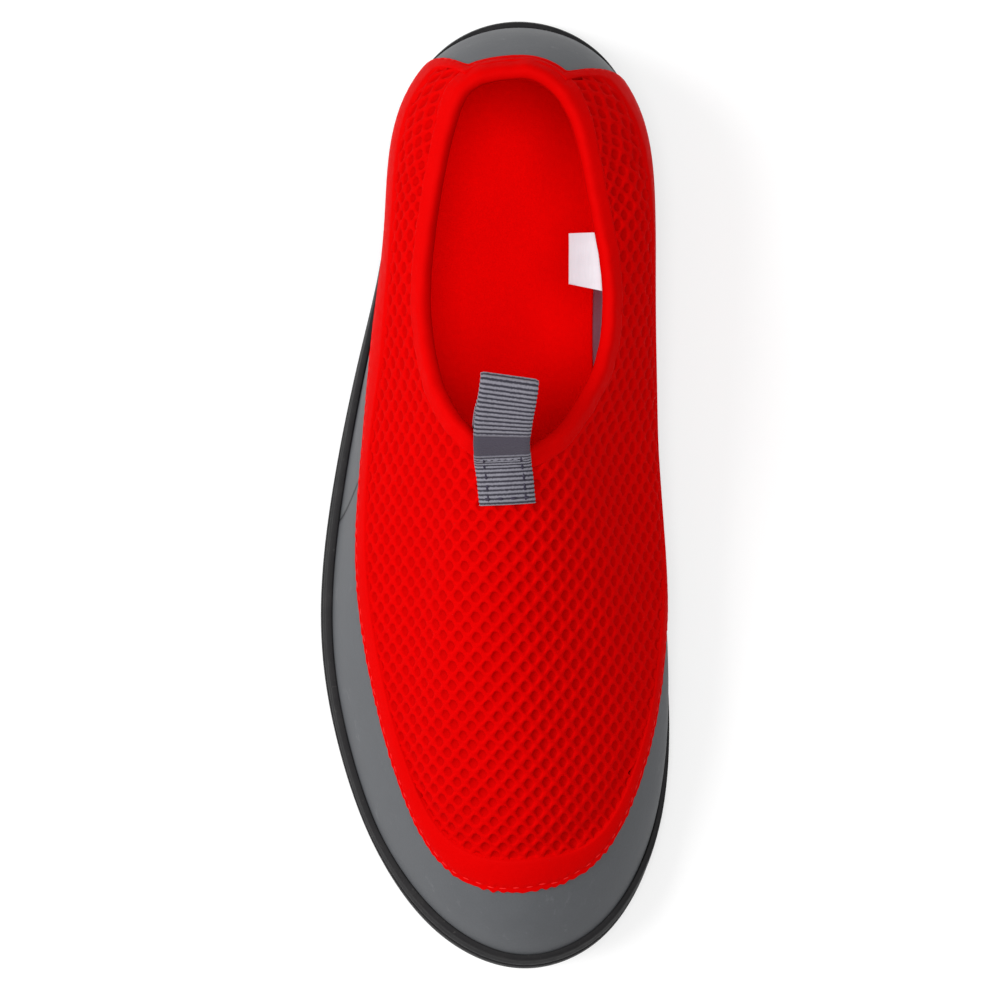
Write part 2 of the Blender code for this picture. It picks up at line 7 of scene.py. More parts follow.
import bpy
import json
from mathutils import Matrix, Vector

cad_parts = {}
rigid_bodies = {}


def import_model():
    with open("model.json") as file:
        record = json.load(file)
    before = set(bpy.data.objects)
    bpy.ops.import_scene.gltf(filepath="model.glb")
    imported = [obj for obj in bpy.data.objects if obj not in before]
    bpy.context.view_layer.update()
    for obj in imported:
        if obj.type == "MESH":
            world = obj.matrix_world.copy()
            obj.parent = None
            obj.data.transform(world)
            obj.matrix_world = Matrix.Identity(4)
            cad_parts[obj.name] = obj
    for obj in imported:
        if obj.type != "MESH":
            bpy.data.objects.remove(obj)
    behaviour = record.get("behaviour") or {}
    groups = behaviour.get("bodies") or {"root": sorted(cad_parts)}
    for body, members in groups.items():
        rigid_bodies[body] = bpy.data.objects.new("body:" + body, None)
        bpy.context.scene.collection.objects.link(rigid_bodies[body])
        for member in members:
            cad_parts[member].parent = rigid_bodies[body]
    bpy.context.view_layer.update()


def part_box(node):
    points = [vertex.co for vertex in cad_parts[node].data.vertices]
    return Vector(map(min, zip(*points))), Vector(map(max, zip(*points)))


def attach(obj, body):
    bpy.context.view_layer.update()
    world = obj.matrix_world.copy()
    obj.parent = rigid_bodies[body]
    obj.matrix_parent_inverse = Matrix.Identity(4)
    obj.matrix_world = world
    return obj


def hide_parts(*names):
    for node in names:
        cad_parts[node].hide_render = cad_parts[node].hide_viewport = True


bl_info = {
    "name": "Water shoe",
    "version": (1, 0, 0),
    "blender": (4, 5, 0),
    "location": "3D View > Sidebar > Water shoe",
    "description": "Builds the visible pieces of a slip-on water shoe and a plain studio round it",
    "category": "Object",
}

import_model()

import functools
import json
import math

import bmesh
import bpy
import numpy as np
from mathutils import Matrix, Vector
from mathutils.bvhtree import BVHTree

# Driving dimensions of the last, as in the solids
SHOE_LENGTH = 0.2924
BALL_WIDTH = 0.1056
INSTEP_HEIGHT = 0.0755
HEEL_HEIGHT = 0.0640

# Outsole
FOREFOOT_THICKNESS = 0.0050
HEEL_THICKNESS = 0.0085
TOE_SPRING = 0.0125
HEEL_LIFT = 0.0030
ARCH_LIFT = 0.0030
RIM_HEIGHT = 0.0055
TOE_RIM_EXTRA = 0.0020
RIM_THICKNESS = 0.0018
SIDE_SET_IN = 0.0020
TOE_SET_IN = 0.0036
EDGE_ROUND = 0.0015
TREAD_DEPTH = 0.0020
TREAD_PITCH = 0.0105
TREAD_MARGIN = 0.0100
TREAD_WAVE = 0.0022
TREAD_ZONES = ((0.045, 0.260), (0.560, 0.940))
TREAD_WELT = 0.0052
TREAD_GROOVE = 0.0016
TREAD_CUT = (0.0013, 0.00155)
SIDE_GROOVE_AT = 0.55
SIDE_GROOVE_DEPTH = 0.0009
SIDE_GROOVE_WIDTH = 0.045
SIDE_EDGE_FROM = 0.085
SIDE_BULGE = 0.0006
SOLE_CAP_COLUMNS = 8

# The sole along the shoe, from heel to toe: where the spring starts and the heel's lift ends,
# between what shares the arch rises and falls, the sole thins and the rim grows higher, and how
# the arch deepens across the shoe
TOE_SPRING_FROM = 0.72
HEEL_LIFT_TO = 0.10
ARCH_RISE = (0.27, 0.38)
ARCH_FALL = (0.48, 0.60)
SOLE_THINS = (0.20, 0.62)
RIM_RISE = (0.85, 1.0)
TOE_SET_RISE = (0.84, 1.0)
ARCH_ACROSS = (-0.3, 0.5)
ARCH_OUTER_SHARE = 0.35

# Rings up the sole's side, as shares of its height, and over its rim, as shares inwards with a
# fall in shares of the edge's round
SIDE_SHARES = (
    0.0, 0.08, 0.2, 0.32, 0.42, 0.475, 0.50, 0.515, 0.55, 0.585, 0.60, 0.625, 0.68, 0.76, 0.84, 0.89, 0.93,
)
RIM_RINGS = ((0.12, 0.10), (0.30, 0.02), (0.50, 0.0), (0.75, 0.0), (0.92, 0.02), (1.0, 0.10))

# Upper
WALL = 0.0030
MESH_PROUD = 0.0005
OVERLAY = 0.0010
GAP = 0.0003
COUNTER_LIP = 0.0012
COLLAR_BAND = 0.0066
COLLAR_THICKNESS = 0.0038
COUNTER_SPREAD = 0.0210
COUNTER_SPREAD_INNER = 0.0320
COUNTER_CORNER = 0.0110
SIDE_SEAM_ALONG = 0.52

# Insole, with the board under it
INSOLE_THICKNESS = 0.0035
INSOLE_CLEARANCE = 0.0005
INSOLE_PINCH = 0.0064
INSOLE_PINCH_FROM = 0.18
INSOLE_PINCH_TO = 0.46
INSOLE_PINCH_EASE = 0.07
INSOLE_ROUND = 0.0010
HEEL_HOLLOW = 0.0010
HOLLOW_ENDS = (0.30, 0.55)
# The footbed's red is made lighter than the mesh's as painted light, to make up for the dimmer light inside
# the shoe
FOOTBED_PAINTED_LIGHT = 1.55
BOARD_HEIGHTS = (0.00003, 0.00026)
BOARD_CLEARANCE = 0.0001
BOARD_COLUMNS = 6
FOOTBED_COLUMNS = 40

# Lining
LINING_DEPTH = 0.0017
LINING_ROWS = 40
LINING_TUCK_OUTER = 0.002
LINING_TUCK_INNER = 0.003
# The lining's red is made lighter than the mesh's as painted light, to make up for the dimmer light inside
# the shoe
LINING_PAINTED_LIGHT = 1.45

# Pull loop, station by station: how far behind the throat's edge and aside, the height over the
# instep or None where it lies on a face of the upper, and which face: 1 outer, -1 inner
LOOP_WIDTH = 0.0160
LOOP_THICKNESS = 0.0012
LOOP_PATH = (
    (-0.0149, 0.0016, None, 1),
    (-0.0114, 0.0012, None, 1),
    (-0.0074, 0.0008, None, 1),
    (-0.0034, 0.0002, None, 1),
    (-0.0004, -0.0002, 0.0032, 0),
    (0.0036, -0.0005, 0.0071, 0),
    (0.0091, -0.0001, 0.0107, 0),
    (0.0146, 0.0007, 0.0131, 0),
    (0.0189, 0.0013, 0.0145, 0),
    (0.0207, 0.0015, 0.0141, 0),
    (0.0215, 0.0015, 0.0129, 0),
    (0.0207, 0.0015, 0.0117, 0),
    (0.0189, 0.0013, 0.0112, 0),
    (0.0151, 0.0008, 0.0095, 0),
    (0.0120, 0.0000, 0.0070, 0),
    (0.0094, -0.0003, 0.0025, 0),
    (0.0080, -0.0003, -0.0030, 0),
    (0.0069, -0.0003, -0.0070, 0),
    (0.0041, -0.0002, -0.0094, 0),
    (-0.0019, 0.0000, None, -1),
    (-0.0069, 0.0004, None, -1),
    (-0.0119, 0.0008, None, -1),
)

# How far the webbing is turned askew, at its sewn patch and at its far end, and between which
# places behind the throat it turns; its room over the cloth, and its path's division
LOOP_SKEW_PATCH = -0.05
LOOP_SKEW_END = 0.14
LOOP_SKEW_TURNS = (-0.004, 0.018)
LOOP_CLEARANCE = 0.00035
LOOP_SKIN = 0.00025
LOOP_STEPS = 760

# The webbing's smooth stretch between its ribs, by length, where the ribs are flattened and the colour is
# darkened as painted shade, and the relief of the ribs
PLAIN_SHADE_RISE = (0.0165, 0.0180)
PLAIN_SHADE_FALL = (0.0235, 0.0255)
RIB_RELIEF = 0.00022
RIB_VALLEY = 0.00012
RIB_SWAY = 0.00030
LOOP_END_ROUND = 0.0006

# Rows of stitches on the loop: colour of the thread, runs as pairs of places by length and
# across, points on a run, and the sizes of the stitches
LOOP_THREAD_LIFT = -0.00010
DARK_THREAD = ("dark_thread", (0.035, 0.030, 0.050), 0.5)
PALE_THREAD = ("pale_thread", (0.24, 0.23, 0.27), 0.5)
LOOP_STITCHES = (
    (
        "side", DARK_THREAD, (((0.0022, 0.0150), (-0.66, -0.66)), ((0.0022, 0.0150), (0.66, 0.66))), 14,
        {"Pitch": 0.0028, "Length": 0.0022, "Thickness": 0.00085, "Seed": 1},
    ),
    (
        "front", DARK_THREAD, (((0.0020, 0.0020), (-0.70, 0.70)),), 12,
        {"Pitch": 0.0031, "Length": 0.0019, "Thickness": 0.00105, "Seed": 2},
    ),
    (
        "back", PALE_THREAD, (((0.0152, 0.0152), (-0.70, 0.70)),), 12,
        {"Pitch": 0.0018, "Length": 0.0018, "Thickness": 0.00060, "Seed": 4},
    ),
)

# The blank label: how far its near edge moves over towards its free corner, how far it is tucked
# under the collar, its curl and ripple, its grid, and half its thickness
LABEL_CORNER_RISE = 0.0022
LABEL_TUCK = 0.0003
LABEL_CURL = 0.0007
LABEL_RIPPLE = 0.0003
LABEL_GRID = (34, 26)
LABEL_HALF_THICKNESS = (0.00005, 0, 0.00013)

# The collar band's section: how far up the band, and how deep in shares of its thickness
COLLAR_SECTION = (
    (-0.15, 0.12),
    (-0.13, -0.02),
    (-0.06, -0.075),
    (0.15, -0.095),
    (0.45, -0.10),
    (0.80, -0.02),
    (0.95, 0.20),
    (1.00, 0.52),
    (0.95, 0.84),
    (0.78, 1.06),
    (0.40, 1.12),
    (0.02, 1.00),
    (-0.13, 0.80),
    (-0.17, 0.45),
)

# One row for each rib, round the shoe from the heel by the outer side to the toe and back,
# with the meaning that the solids' source gives to each column
RIB_COLUMNS = (
    "along", "across", "top_along", "top_across", "climb", "rise", "bulge", "reach", "slope", "rand",
)
RIB_TABLE = (
    (0.000, 0.045, 0.066, 0.030, 0.00, 0.345, 0.014, 0.066, 60, 0.40),
    (0.033, -0.156, 0.076, -0.072, 0.00, 0.345, 0.050, 0.085, 53, 0.34),
    (0.103, -0.262, 0.106, -0.124, -0.09, 0.320, 0.083, 0.118, 36, 0.29),
    (0.222, -0.312, 0.191, -0.176, -0.39, 0.290, 0.055, 0.125, 30, 0.27),
    (0.351, -0.394, 0.274, -0.212, -0.50, 0.270, 0.000, 0.110, 50, 0.31),
    (0.496, -0.479, 0.332, -0.208, -0.26, 0.280, -0.045, 0.100, 60, 0.40),
    (0.650, -0.512, 0.376, -0.180, 0.17, 0.300, -0.055, 0.120, 60, 0.48),
    (0.778, -0.454, 0.404, -0.134, 0.52, 0.310, -0.055, 0.190, 48, 0.52),
    (0.896, -0.322, 0.423, -0.076, 0.83, 0.320, -0.050, 0.320, 34, 0.47),
    (0.968, -0.152, 0.434, -0.025, 0.96, 0.330, -0.035, 0.530, 20, 0.43),
    (1.000, 0.086, 0.438, 0.030, 1.00, 0.340, -0.030, 0.680, 16, 0.48),
    (0.971, 0.312, 0.434, 0.087, 0.96, 0.275, 0.012, 0.550, 25, 0.46),
    (0.896, 0.446, 0.424, 0.142, 0.83, 0.215, 0.055, 0.390, 36, 0.52),
    (0.780, 0.500, 0.405, 0.199, 0.52, 0.235, 0.100, 0.250, 52, 0.55),
    (0.650, 0.487, 0.373, 0.257, 0.17, 0.290, 0.080, 0.210, 55, 0.41),
    (0.496, 0.424, 0.325, 0.298, -0.26, 0.340, 0.080, 0.190, 52, 0.33),
    (0.349, 0.391, 0.260, 0.294, -0.45, 0.350, 0.107, 0.180, 40, 0.29),
    (0.205, 0.400, 0.181, 0.243, -0.35, 0.318, 0.108, 0.210, 20, 0.27),
    (0.096, 0.394, 0.106, 0.192, -0.09, 0.320, 0.085, 0.145, 34, 0.29),
    (0.033, 0.300, 0.075, 0.130, 0.00, 0.345, 0.045, 0.085, 53, 0.34),
)

# How finely the pieces are divided
CURVE_STEPS = 150
LEVELS = 140
RIBS = 480
BAND_RIBS = 1400
HEEL_CROWD = 1.2
TOE_CROWD = 0.5

# Soft folds of the cloth: middle, the way it runs, half width, half length, height in metres
FOLDS = (
    ((0.0400, 0.1180, 0.047), (0.75, 0.10, -0.65), 0.0022, 0.013, -0.0013),
    ((0.0412, 0.1100, 0.047), (0.75, 0.05, -0.65), 0.0022, 0.014, -0.0014),
    ((0.0425, 0.1015, 0.047), (0.75, 0.00, -0.65), 0.0022, 0.013, -0.0013),
    ((0.0435, 0.0930, 0.047), (0.75, 0.00, -0.65), 0.0024, 0.010, -0.0009),
)
TOE_VALLEY = 0.0009
TOE_VALLEY_RISE = (0.84, 0.93)
TOE_VALLEY_ABOVE = 0.0125
TOE_VALLEY_WIDTH = 0.0042

# How much narrower the smooth band is on the inner forefoot, and how much wider behind the
# middle of the foot, as shares of its width
INNER_BAND_LESS = 0.30
REAR_BAND_MORE = 0.45
BAND_WIDENS = (0.40, 0.52)
INNER_SIDE = (0.10, 0.38)

# The smooth band's lap over the grey, its waved edge as waves round the shoe and their height,
# its padding, how far under the collar it runs, the dip along its stitches, and its depths
BAND_LAP = 0.0012
BAND_WAVES = ((196, 0.00022), (231, 0.00014), (149, 0.00012), (61, 0.00012))
BAND_PROUD = 0.00042
BAND_PUFF = 0.00028
BAND_UNDER_COLLAR = 0.002
BAND_SEED = 5
BAND_STITCH_FROM_EDGE = 0.0022
BAND_STITCH_DIP = 0.00030
BAND_STITCH_DIP_WIDTH = 0.0006
BAND_EDGE_DEPTH = 0.00045
BAND_BACK_DEPTH = 0.00047
BAND_CORE = 0.0008
BAND_REAR_DEPTH = 0.0002
BAND_THREAD_LIFT = 0.00036
BAND_THREAD_SINK = 0.0030

# How far the mesh is sunk where it runs under the collar
MESH_TUCK = 0.0012
TUCK_UNDER = (0.0010, 0.0022)

# The mesh's pits: columns to each side, how far under the band and the collar they go on, sizes
# of the rings inside a cell, and the height and the painted shade of its edge, its rings and its middle
PIT_COLUMNS = 18
MESH_UNDER_BAND = 0.0033
MESH_UNDER_COLLAR = 0.0026
PIT_SIZES = (1.12, 0.96, 0.78, 0.0)
PIT_HEIGHTS = (0.00020, 0.00008, -0.00020, -0.00052, -0.00060)
PIT_SHADE_AMOUNTS = (0.0, 0.08, 0.62, 1.0, 1.0)
PIT_CORNERS = 12
PIT_SEED = 11
PIT_SWAY = 0.00010
PIT_GROWTH = (0.94, 1.05)
STRAND_UNEVEN = 0.00004

# How much narrower the collar's band is along the sides than at the back, as a share
COLLAR_SIDES_LESS = 0.26
COLLAR_NARROWS = (0.04, 0.16)

# Slight waves round the collar: how many, where they start and how high
COLLAR_WAVES = ((23, 0.7, 0.00010), (41, 2.1, 0.00008))

# The grey panels: rows up to the edge, the edge's two last rows, and the open seam's half width
PANEL_ROWS = 30
PANEL_EDGE_DROP = 0.0001
PANEL_EDGE_DEPTHS = (0.00012, 0.0004)
SEAM_HALF_WIDTH = 0.00018

# A soft trough in the cloth beside the collar, on the heel's inner quarter
QUARTER_TROUGH = 0.0010
QUARTER_FROM = 0.07
QUARTER_TO = 0.27
QUARTER_EASE = 0.05
QUARTER_BELOW = 0.0045
QUARTER_WIDTH = 0.0030

# Mid-line of the cloth's weave: x at each y
MIDLINE_Y = (-0.145, 0.018, 0.085)
MIDLINE_X = (0.0090, 0.0015, 0.0050)
FAN_START = 0.085
FAN_RADIUS = 0.040
FAN_TURN = 1.45

# The line down the instep that the weave is laid from, and where rays start
RIDGE_REACH = 0.165
RIDGE_STEPS = 330
RAY_START = 0.2
RAY_START_INSIDE = 0.045
STATION_SHARE = 0.45
STATION_HEIGHT = 0.030
CLOTH_TOE_MARGIN = 0.004

# Studio: the floor, lights as place, size and power, and the camera straight over the shoe but
# for a few degrees towards the heel and aside, its lens in widths of its sensor
FLOOR_SIZE = 4.0
FLOOR_COLOUR = (0.60, 0.60, 0.60)
FLOOR_GLOW = 0.45
WORLD_STRENGTH = 0.31
LIGHTS = (
    ("key_light", (-1.10, 0.10, 0.95), 0.9, 16.0),
    ("top_light", (0.05, 0.10, 1.60), 0.9, 14.0),
)
LIGHT_AIM = (0, 0, 0.03)
CAMERA_AIM = (0.0017, -0.0006, 0.0)
CAMERA_BEHIND = 4
CAMERA_ASIDE = 2
CAMERA_DISTANCE = 0.780
CAMERA_SENSOR = 36
CAMERA_LENS = 2.487


def closed_spline(knots, values, where):
    """Values at where of the periodic cubic curve through values at knots, whose last is a full turn."""
    count = len(values)
    span = np.diff(knots)
    slope = (np.roll(values, -1, 0) - values) / span[:, None]
    matrix = np.zeros((count, count))
    for i in range(count):
        matrix[i, i - 1] += span[i - 1]
        matrix[i, i] += 2 * (span[i - 1] + span[i])
        matrix[i, (i + 1) % count] += span[i]
    bend = np.linalg.solve(matrix, 6 * (slope - np.roll(slope, 1, 0)))
    where = np.mod(where, knots[-1])
    i = np.clip(np.searchsorted(knots, where, side="right") - 1, 0, count - 1)
    j = (i + 1) % count
    h = span[i][:, None]
    a = (knots[i + 1] - where)[:, None] / h
    b = 1 - a
    return (
        a * values[i]
        + b * values[j]
        + ((a**3 - a) * bend[i] + (b**3 - b) * bend[j]) * h**2 / 6
    )


def smooth_step(low, high, x):
    """0 below low, 1 above high and a soft S between them."""
    t = np.clip((np.asarray(x, float) - low) / (high - low), 0, 1)
    return t * t * (3 - 2 * t)


def soft_window(rise, fall, x):
    """1 between two soft edges, each given by where it starts and ends, and 0 beyond them."""
    return smooth_step(*rise, x) * (1 - smooth_step(*fall, x))


def running_length(points, closed=True, weight=1.0):
    """Length along a row of points from its first to each one, and back to the first."""
    if closed:
        points = np.concatenate((points, points[:1]))
    steps = np.linalg.norm(np.diff(points, axis=0), axis=1)
    return np.concatenate(([0], np.cumsum(steps * weight)))


def rib_rows(turns):
    """The table's columns at each share of a turn round the shoe, as a dictionary of arrays."""
    table = np.array(RIB_TABLE)
    knots = running_length(np.column_stack((table[:, 0] * SHOE_LENGTH, table[:, 1] * BALL_WIDTH)))
    values = closed_spline(knots, table, np.asarray(turns) * knots[-1])
    return {name: values[:, i] for i, name in enumerate(RIB_COLUMNS)}


def plan_points(along, across):
    """Plan positions, the heel at +Y."""
    return np.column_stack((across * BALL_WIDTH, (0.5 - along) * SHOE_LENGTH))


def outward(points):
    """Unit normals, pointing away from the middle, of a closed plan curve."""
    run = np.roll(points, -1, 0) - np.roll(points, 1, 0)
    normal = np.column_stack((run[:, 1], -run[:, 0]))
    normal /= np.linalg.norm(normal, axis=1)[:, None]
    away = np.sum(normal * (points - points.mean(0)))
    return normal if away > 0 else -normal


def along_of(y):
    """Share of the shoe's length from the heel, for a plan position."""
    return 0.5 - np.asarray(y) / SHOE_LENGTH


def toe_lift(along):
    """How far the toe springs off the floor."""
    return np.clip((along - TOE_SPRING_FROM) / (1 - TOE_SPRING_FROM), 0, None) ** 2 * TOE_SPRING


def bottom_height(x, y):
    """Height of the tread's face above the floor: toe spring, heel lift and arch."""
    along = along_of(y)
    heel = np.clip((HEEL_LIFT_TO - along) / HEEL_LIFT_TO, 0, None) ** 2 * HEEL_LIFT
    inner_side = smooth_step(*ARCH_ACROSS, np.asarray(x) / BALL_WIDTH)
    share = ARCH_OUTER_SHARE + (1 - ARCH_OUTER_SHARE) * inner_side
    return toe_lift(along) + heel + soft_window(ARCH_RISE, ARCH_FALL, along) * share * ARCH_LIFT


def bed_height(y):
    """Height of the face that the insole lies on."""
    along = along_of(y)
    thins = smooth_step(*SOLE_THINS, along)
    return toe_lift(along) + HEEL_THICKNESS + (FOREFOOT_THICKNESS - HEEL_THICKNESS) * thins


def even_turns(count):
    """Shares of a turn for ribs along the sole's outline, closer together round heel and toe."""
    fine = np.arange(1440) / 1440
    rows = rib_rows(fine)
    plan = plan_points(rows["along"], rows["across"])
    heel = 1 - smooth_step(0.02, 0.20, rows["along"])
    toe = smooth_step(0.84, 0.96, rows["along"])
    length = running_length(plan, weight=1 + HEEL_CROWD * heel + TOE_CROWD * toe)
    wanted = np.arange(count) / count * length[-1]
    return np.interp(wanted, length, np.append(fine, 1.0))


def grid_normals(points):
    """Outward unit normals of a grid of points, levels up by ribs round."""
    up = np.gradient(points, axis=0)
    round_shoe = np.roll(points, -1, 1) - np.roll(points, 1, 1)
    normals = np.cross(round_shoe, up)
    return normals / np.linalg.norm(normals, axis=2)[..., None]


class Form:
    """The upper's outer face, folds and all, with ways to ask for a point on it."""

    def __init__(self, count):
        self.count = count
        turns = even_turns(count)
        self.rows = rows = rib_rows(turns)
        self.outline = sole = plan_points(rows["along"], rows["across"])
        self.outline_out = outward(sole)
        inset = SIDE_SET_IN + (TOE_SET_IN - SIDE_SET_IN) * smooth_step(*TOE_SET_RISE, rows["along"])
        foot = sole - self.outline_out * inset[:, None]
        top = plan_points(rows["top_along"], rows["top_across"])
        top_out = outward(top)
        top_height = HEEL_HEIGHT + (INSTEP_HEIGHT - HEEL_HEIGHT) * rows["climb"]
        bed = bed_height(foot[:, 1]) + GAP
        bulge = foot + self.outline_out * (rows["bulge"] * BALL_WIDTH)[:, None]
        reach = rows["reach"] * BALL_WIDTH
        fall = reach * np.tan(np.radians(rows["slope"]))
        handles = (
            np.column_stack((foot, bed)),
            np.column_stack((bulge, bed + rows["rise"] * INSTEP_HEIGHT)),
            np.column_stack((top + top_out * reach[:, None], top_height - fall)),
            np.column_stack((top, top_height)),
        )
        t = np.linspace(0, 1, CURVE_STEPS)[:, None, None]
        weights = ((1 - t) ** 3, 3 * (1 - t) ** 2 * t, 3 * (1 - t) * t**2, t**3)
        raw = sum(w * h for w, h in zip(weights, handles))
        steps = np.linalg.norm(np.diff(raw, axis=0), axis=2)
        lengths = np.vstack((np.zeros(count), np.cumsum(steps, axis=0)))
        self.total = lengths[-1]
        shares = np.linspace(0, 1, LEVELS)
        self.points = np.empty((LEVELS, count, 3))
        for i in range(count):
            wanted = shares * self.total[i]
            for axis in range(3):
                self.points[:, i, axis] = np.interp(wanted, lengths[:, i], raw[:, i, axis])
        self.collar_low = self.total - COLLAR_BAND
        self.border = self.rand_top()
        self.collar_share = 1 - COLLAR_SIDES_LESS * smooth_step(*COLLAR_NARROWS, rows["along"])
        rear = 1 - smooth_step(*BAND_WIDENS, rows["along"])
        inner_side = smooth_step(*INNER_SIDE, rows["across"])
        self.band = 1 - INNER_BAND_LESS * inner_side * (1 - rear) + REAR_BAND_MORE * rear
        self.normals = grid_normals(self.points)
        self.points += self.normals * self.fold_heights(shares)[..., None]
        self.normals = grid_normals(self.points)

    def fold_heights(self, shares):
        """How far the soft folds lift or sink each point."""
        height = np.zeros(self.points.shape[:2])
        for middle, run, width, length, lift in FOLDS:
            run = np.array(run) / np.linalg.norm(run)
            away = self.points - np.array(middle)
            along = away @ run
            across = np.sqrt(np.maximum(np.sum(away**2, axis=2) - along**2, 0))
            height += lift * np.exp(-((across / width) ** 2) - (along / length) ** 2)
        above = shares[:, None] * self.total - self.border
        toe = smooth_step(*TOE_VALLEY_RISE, self.rows["along"])
        height -= TOE_VALLEY * toe * np.exp(-(((above - TOE_VALLEY_ABOVE) / TOE_VALLEY_WIDTH) ** 2))
        below = (1 - shares)[:, None] * self.total - COLLAR_BAND
        rise = (QUARTER_FROM, QUARTER_FROM + QUARTER_EASE)
        fall = (QUARTER_TO - QUARTER_EASE, QUARTER_TO)
        quarter = soft_window(rise, fall, self.rows["along"]) * (self.rows["across"] > 0)
        height -= QUARTER_TROUGH * quarter * np.exp(-(((below - QUARTER_BELOW) / QUARTER_WIDTH) ** 2))
        return height

    def at(self, distance, depth=0.0):
        """Points at a distance up each rib, sunk by depth along the surface's normal."""
        distance, depth = np.broadcast_arrays(
            np.asarray(distance, float), np.asarray(depth, float), subok=False
        )
        shape = np.broadcast_shapes(distance.shape, (self.count,))
        distance = np.broadcast_to(distance, shape)
        depth = np.broadcast_to(depth, shape)
        where = np.clip(distance / self.total, 0, 1) * (LEVELS - 1)
        low = np.minimum(where.astype(int), LEVELS - 2)
        t = (where - low)[..., None]
        ribs = np.broadcast_to(np.arange(self.count), shape)
        place = self.points[low, ribs] * (1 - t) + self.points[low + 1, ribs] * t
        normal = self.normals[low, ribs] * (1 - t) + self.normals[low + 1, ribs] * t
        normal /= np.linalg.norm(normal, axis=-1)[..., None]
        found = place - normal * depth[..., None]
        bed = bed_height(found[..., 1]) + GAP
        found[..., 2] = np.where(distance > 0, np.maximum(found[..., 2], bed), bed)
        return found

    def on_collar(self, up, depth):
        """Points at a share of the way up the collar's band, sunk by depth."""
        return self.at(self.total - COLLAR_BAND * self.collar_share * (1 - up), depth)

    def rim_distance(self):
        """Distance up each rib to the top of the sole's rim."""
        return RIM_HEIGHT + TOE_RIM_EXTRA * smooth_step(*RIM_RISE, self.rows["along"])

    def distance_at_height(self, height, depth):
        """How far up each rib the face sunk by depth reaches a height."""
        half = LEVELS // 2
        sunk = self.points - self.normals * np.broadcast_to(depth, (self.count,))[None, :, None]
        shares = np.linspace(0, 1, LEVELS)[:half]
        return np.array([
            np.interp(height[i], sunk[:half, i, 2], shares * self.total[i]) for i in range(self.count)
        ])

    def rand_top(self):
        """Distance up each rib to the top of the grey panels: the rand, and the counter at the heel."""
        low = self.rows["rand"] * INSTEP_HEIGHT
        full = self.collar_low - GAP - COUNTER_LIP
        length = running_length(self.outline)
        girth = np.where(length[:-1] < length[-1] / 2, length[:-1], length[:-1] - length[-1])
        spread = np.where(girth < 0, COUNTER_SPREAD_INNER, COUNTER_SPREAD)
        edge = 1 - smooth_step(0, COUNTER_CORNER, np.abs(girth) - spread)
        return np.minimum(low + (full - low) * edge, full)


@functools.lru_cache
def form(count=RIBS):
    return Form(count)


@functools.lru_cache
def shift():
    """From the form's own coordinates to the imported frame's."""
    low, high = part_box("outsole")
    middle = (np.array(low) + np.array(high)) / 2
    last = form()
    rim = last.at(last.rim_distance(), MESH_PROUD - GAP)[:, :2] + last.outline_out * RIM_THICKNESS
    outline = np.concatenate((last.outline, rim))
    own = (outline.min(0) + outline.max(0)) / 2
    return np.array((middle[0] - own[0], middle[1] - own[1], 0.0))


def grid_faces(rows, columns, wrap_rows=False, wrap_columns=False, start=0):
    """Four-sided faces between neighbours of a grid of points."""
    index = np.arange(rows * columns).reshape(rows, columns) + start
    if wrap_rows:
        index = np.vstack((index, index[:1]))
    if wrap_columns:
        index = np.column_stack((index, index[:, 0]))
    faces = np.stack((index[:-1, :-1], index[:-1, 1:], index[1:, 1:], index[1:, :-1]), -1)
    return faces.reshape(-1, 4).tolist()


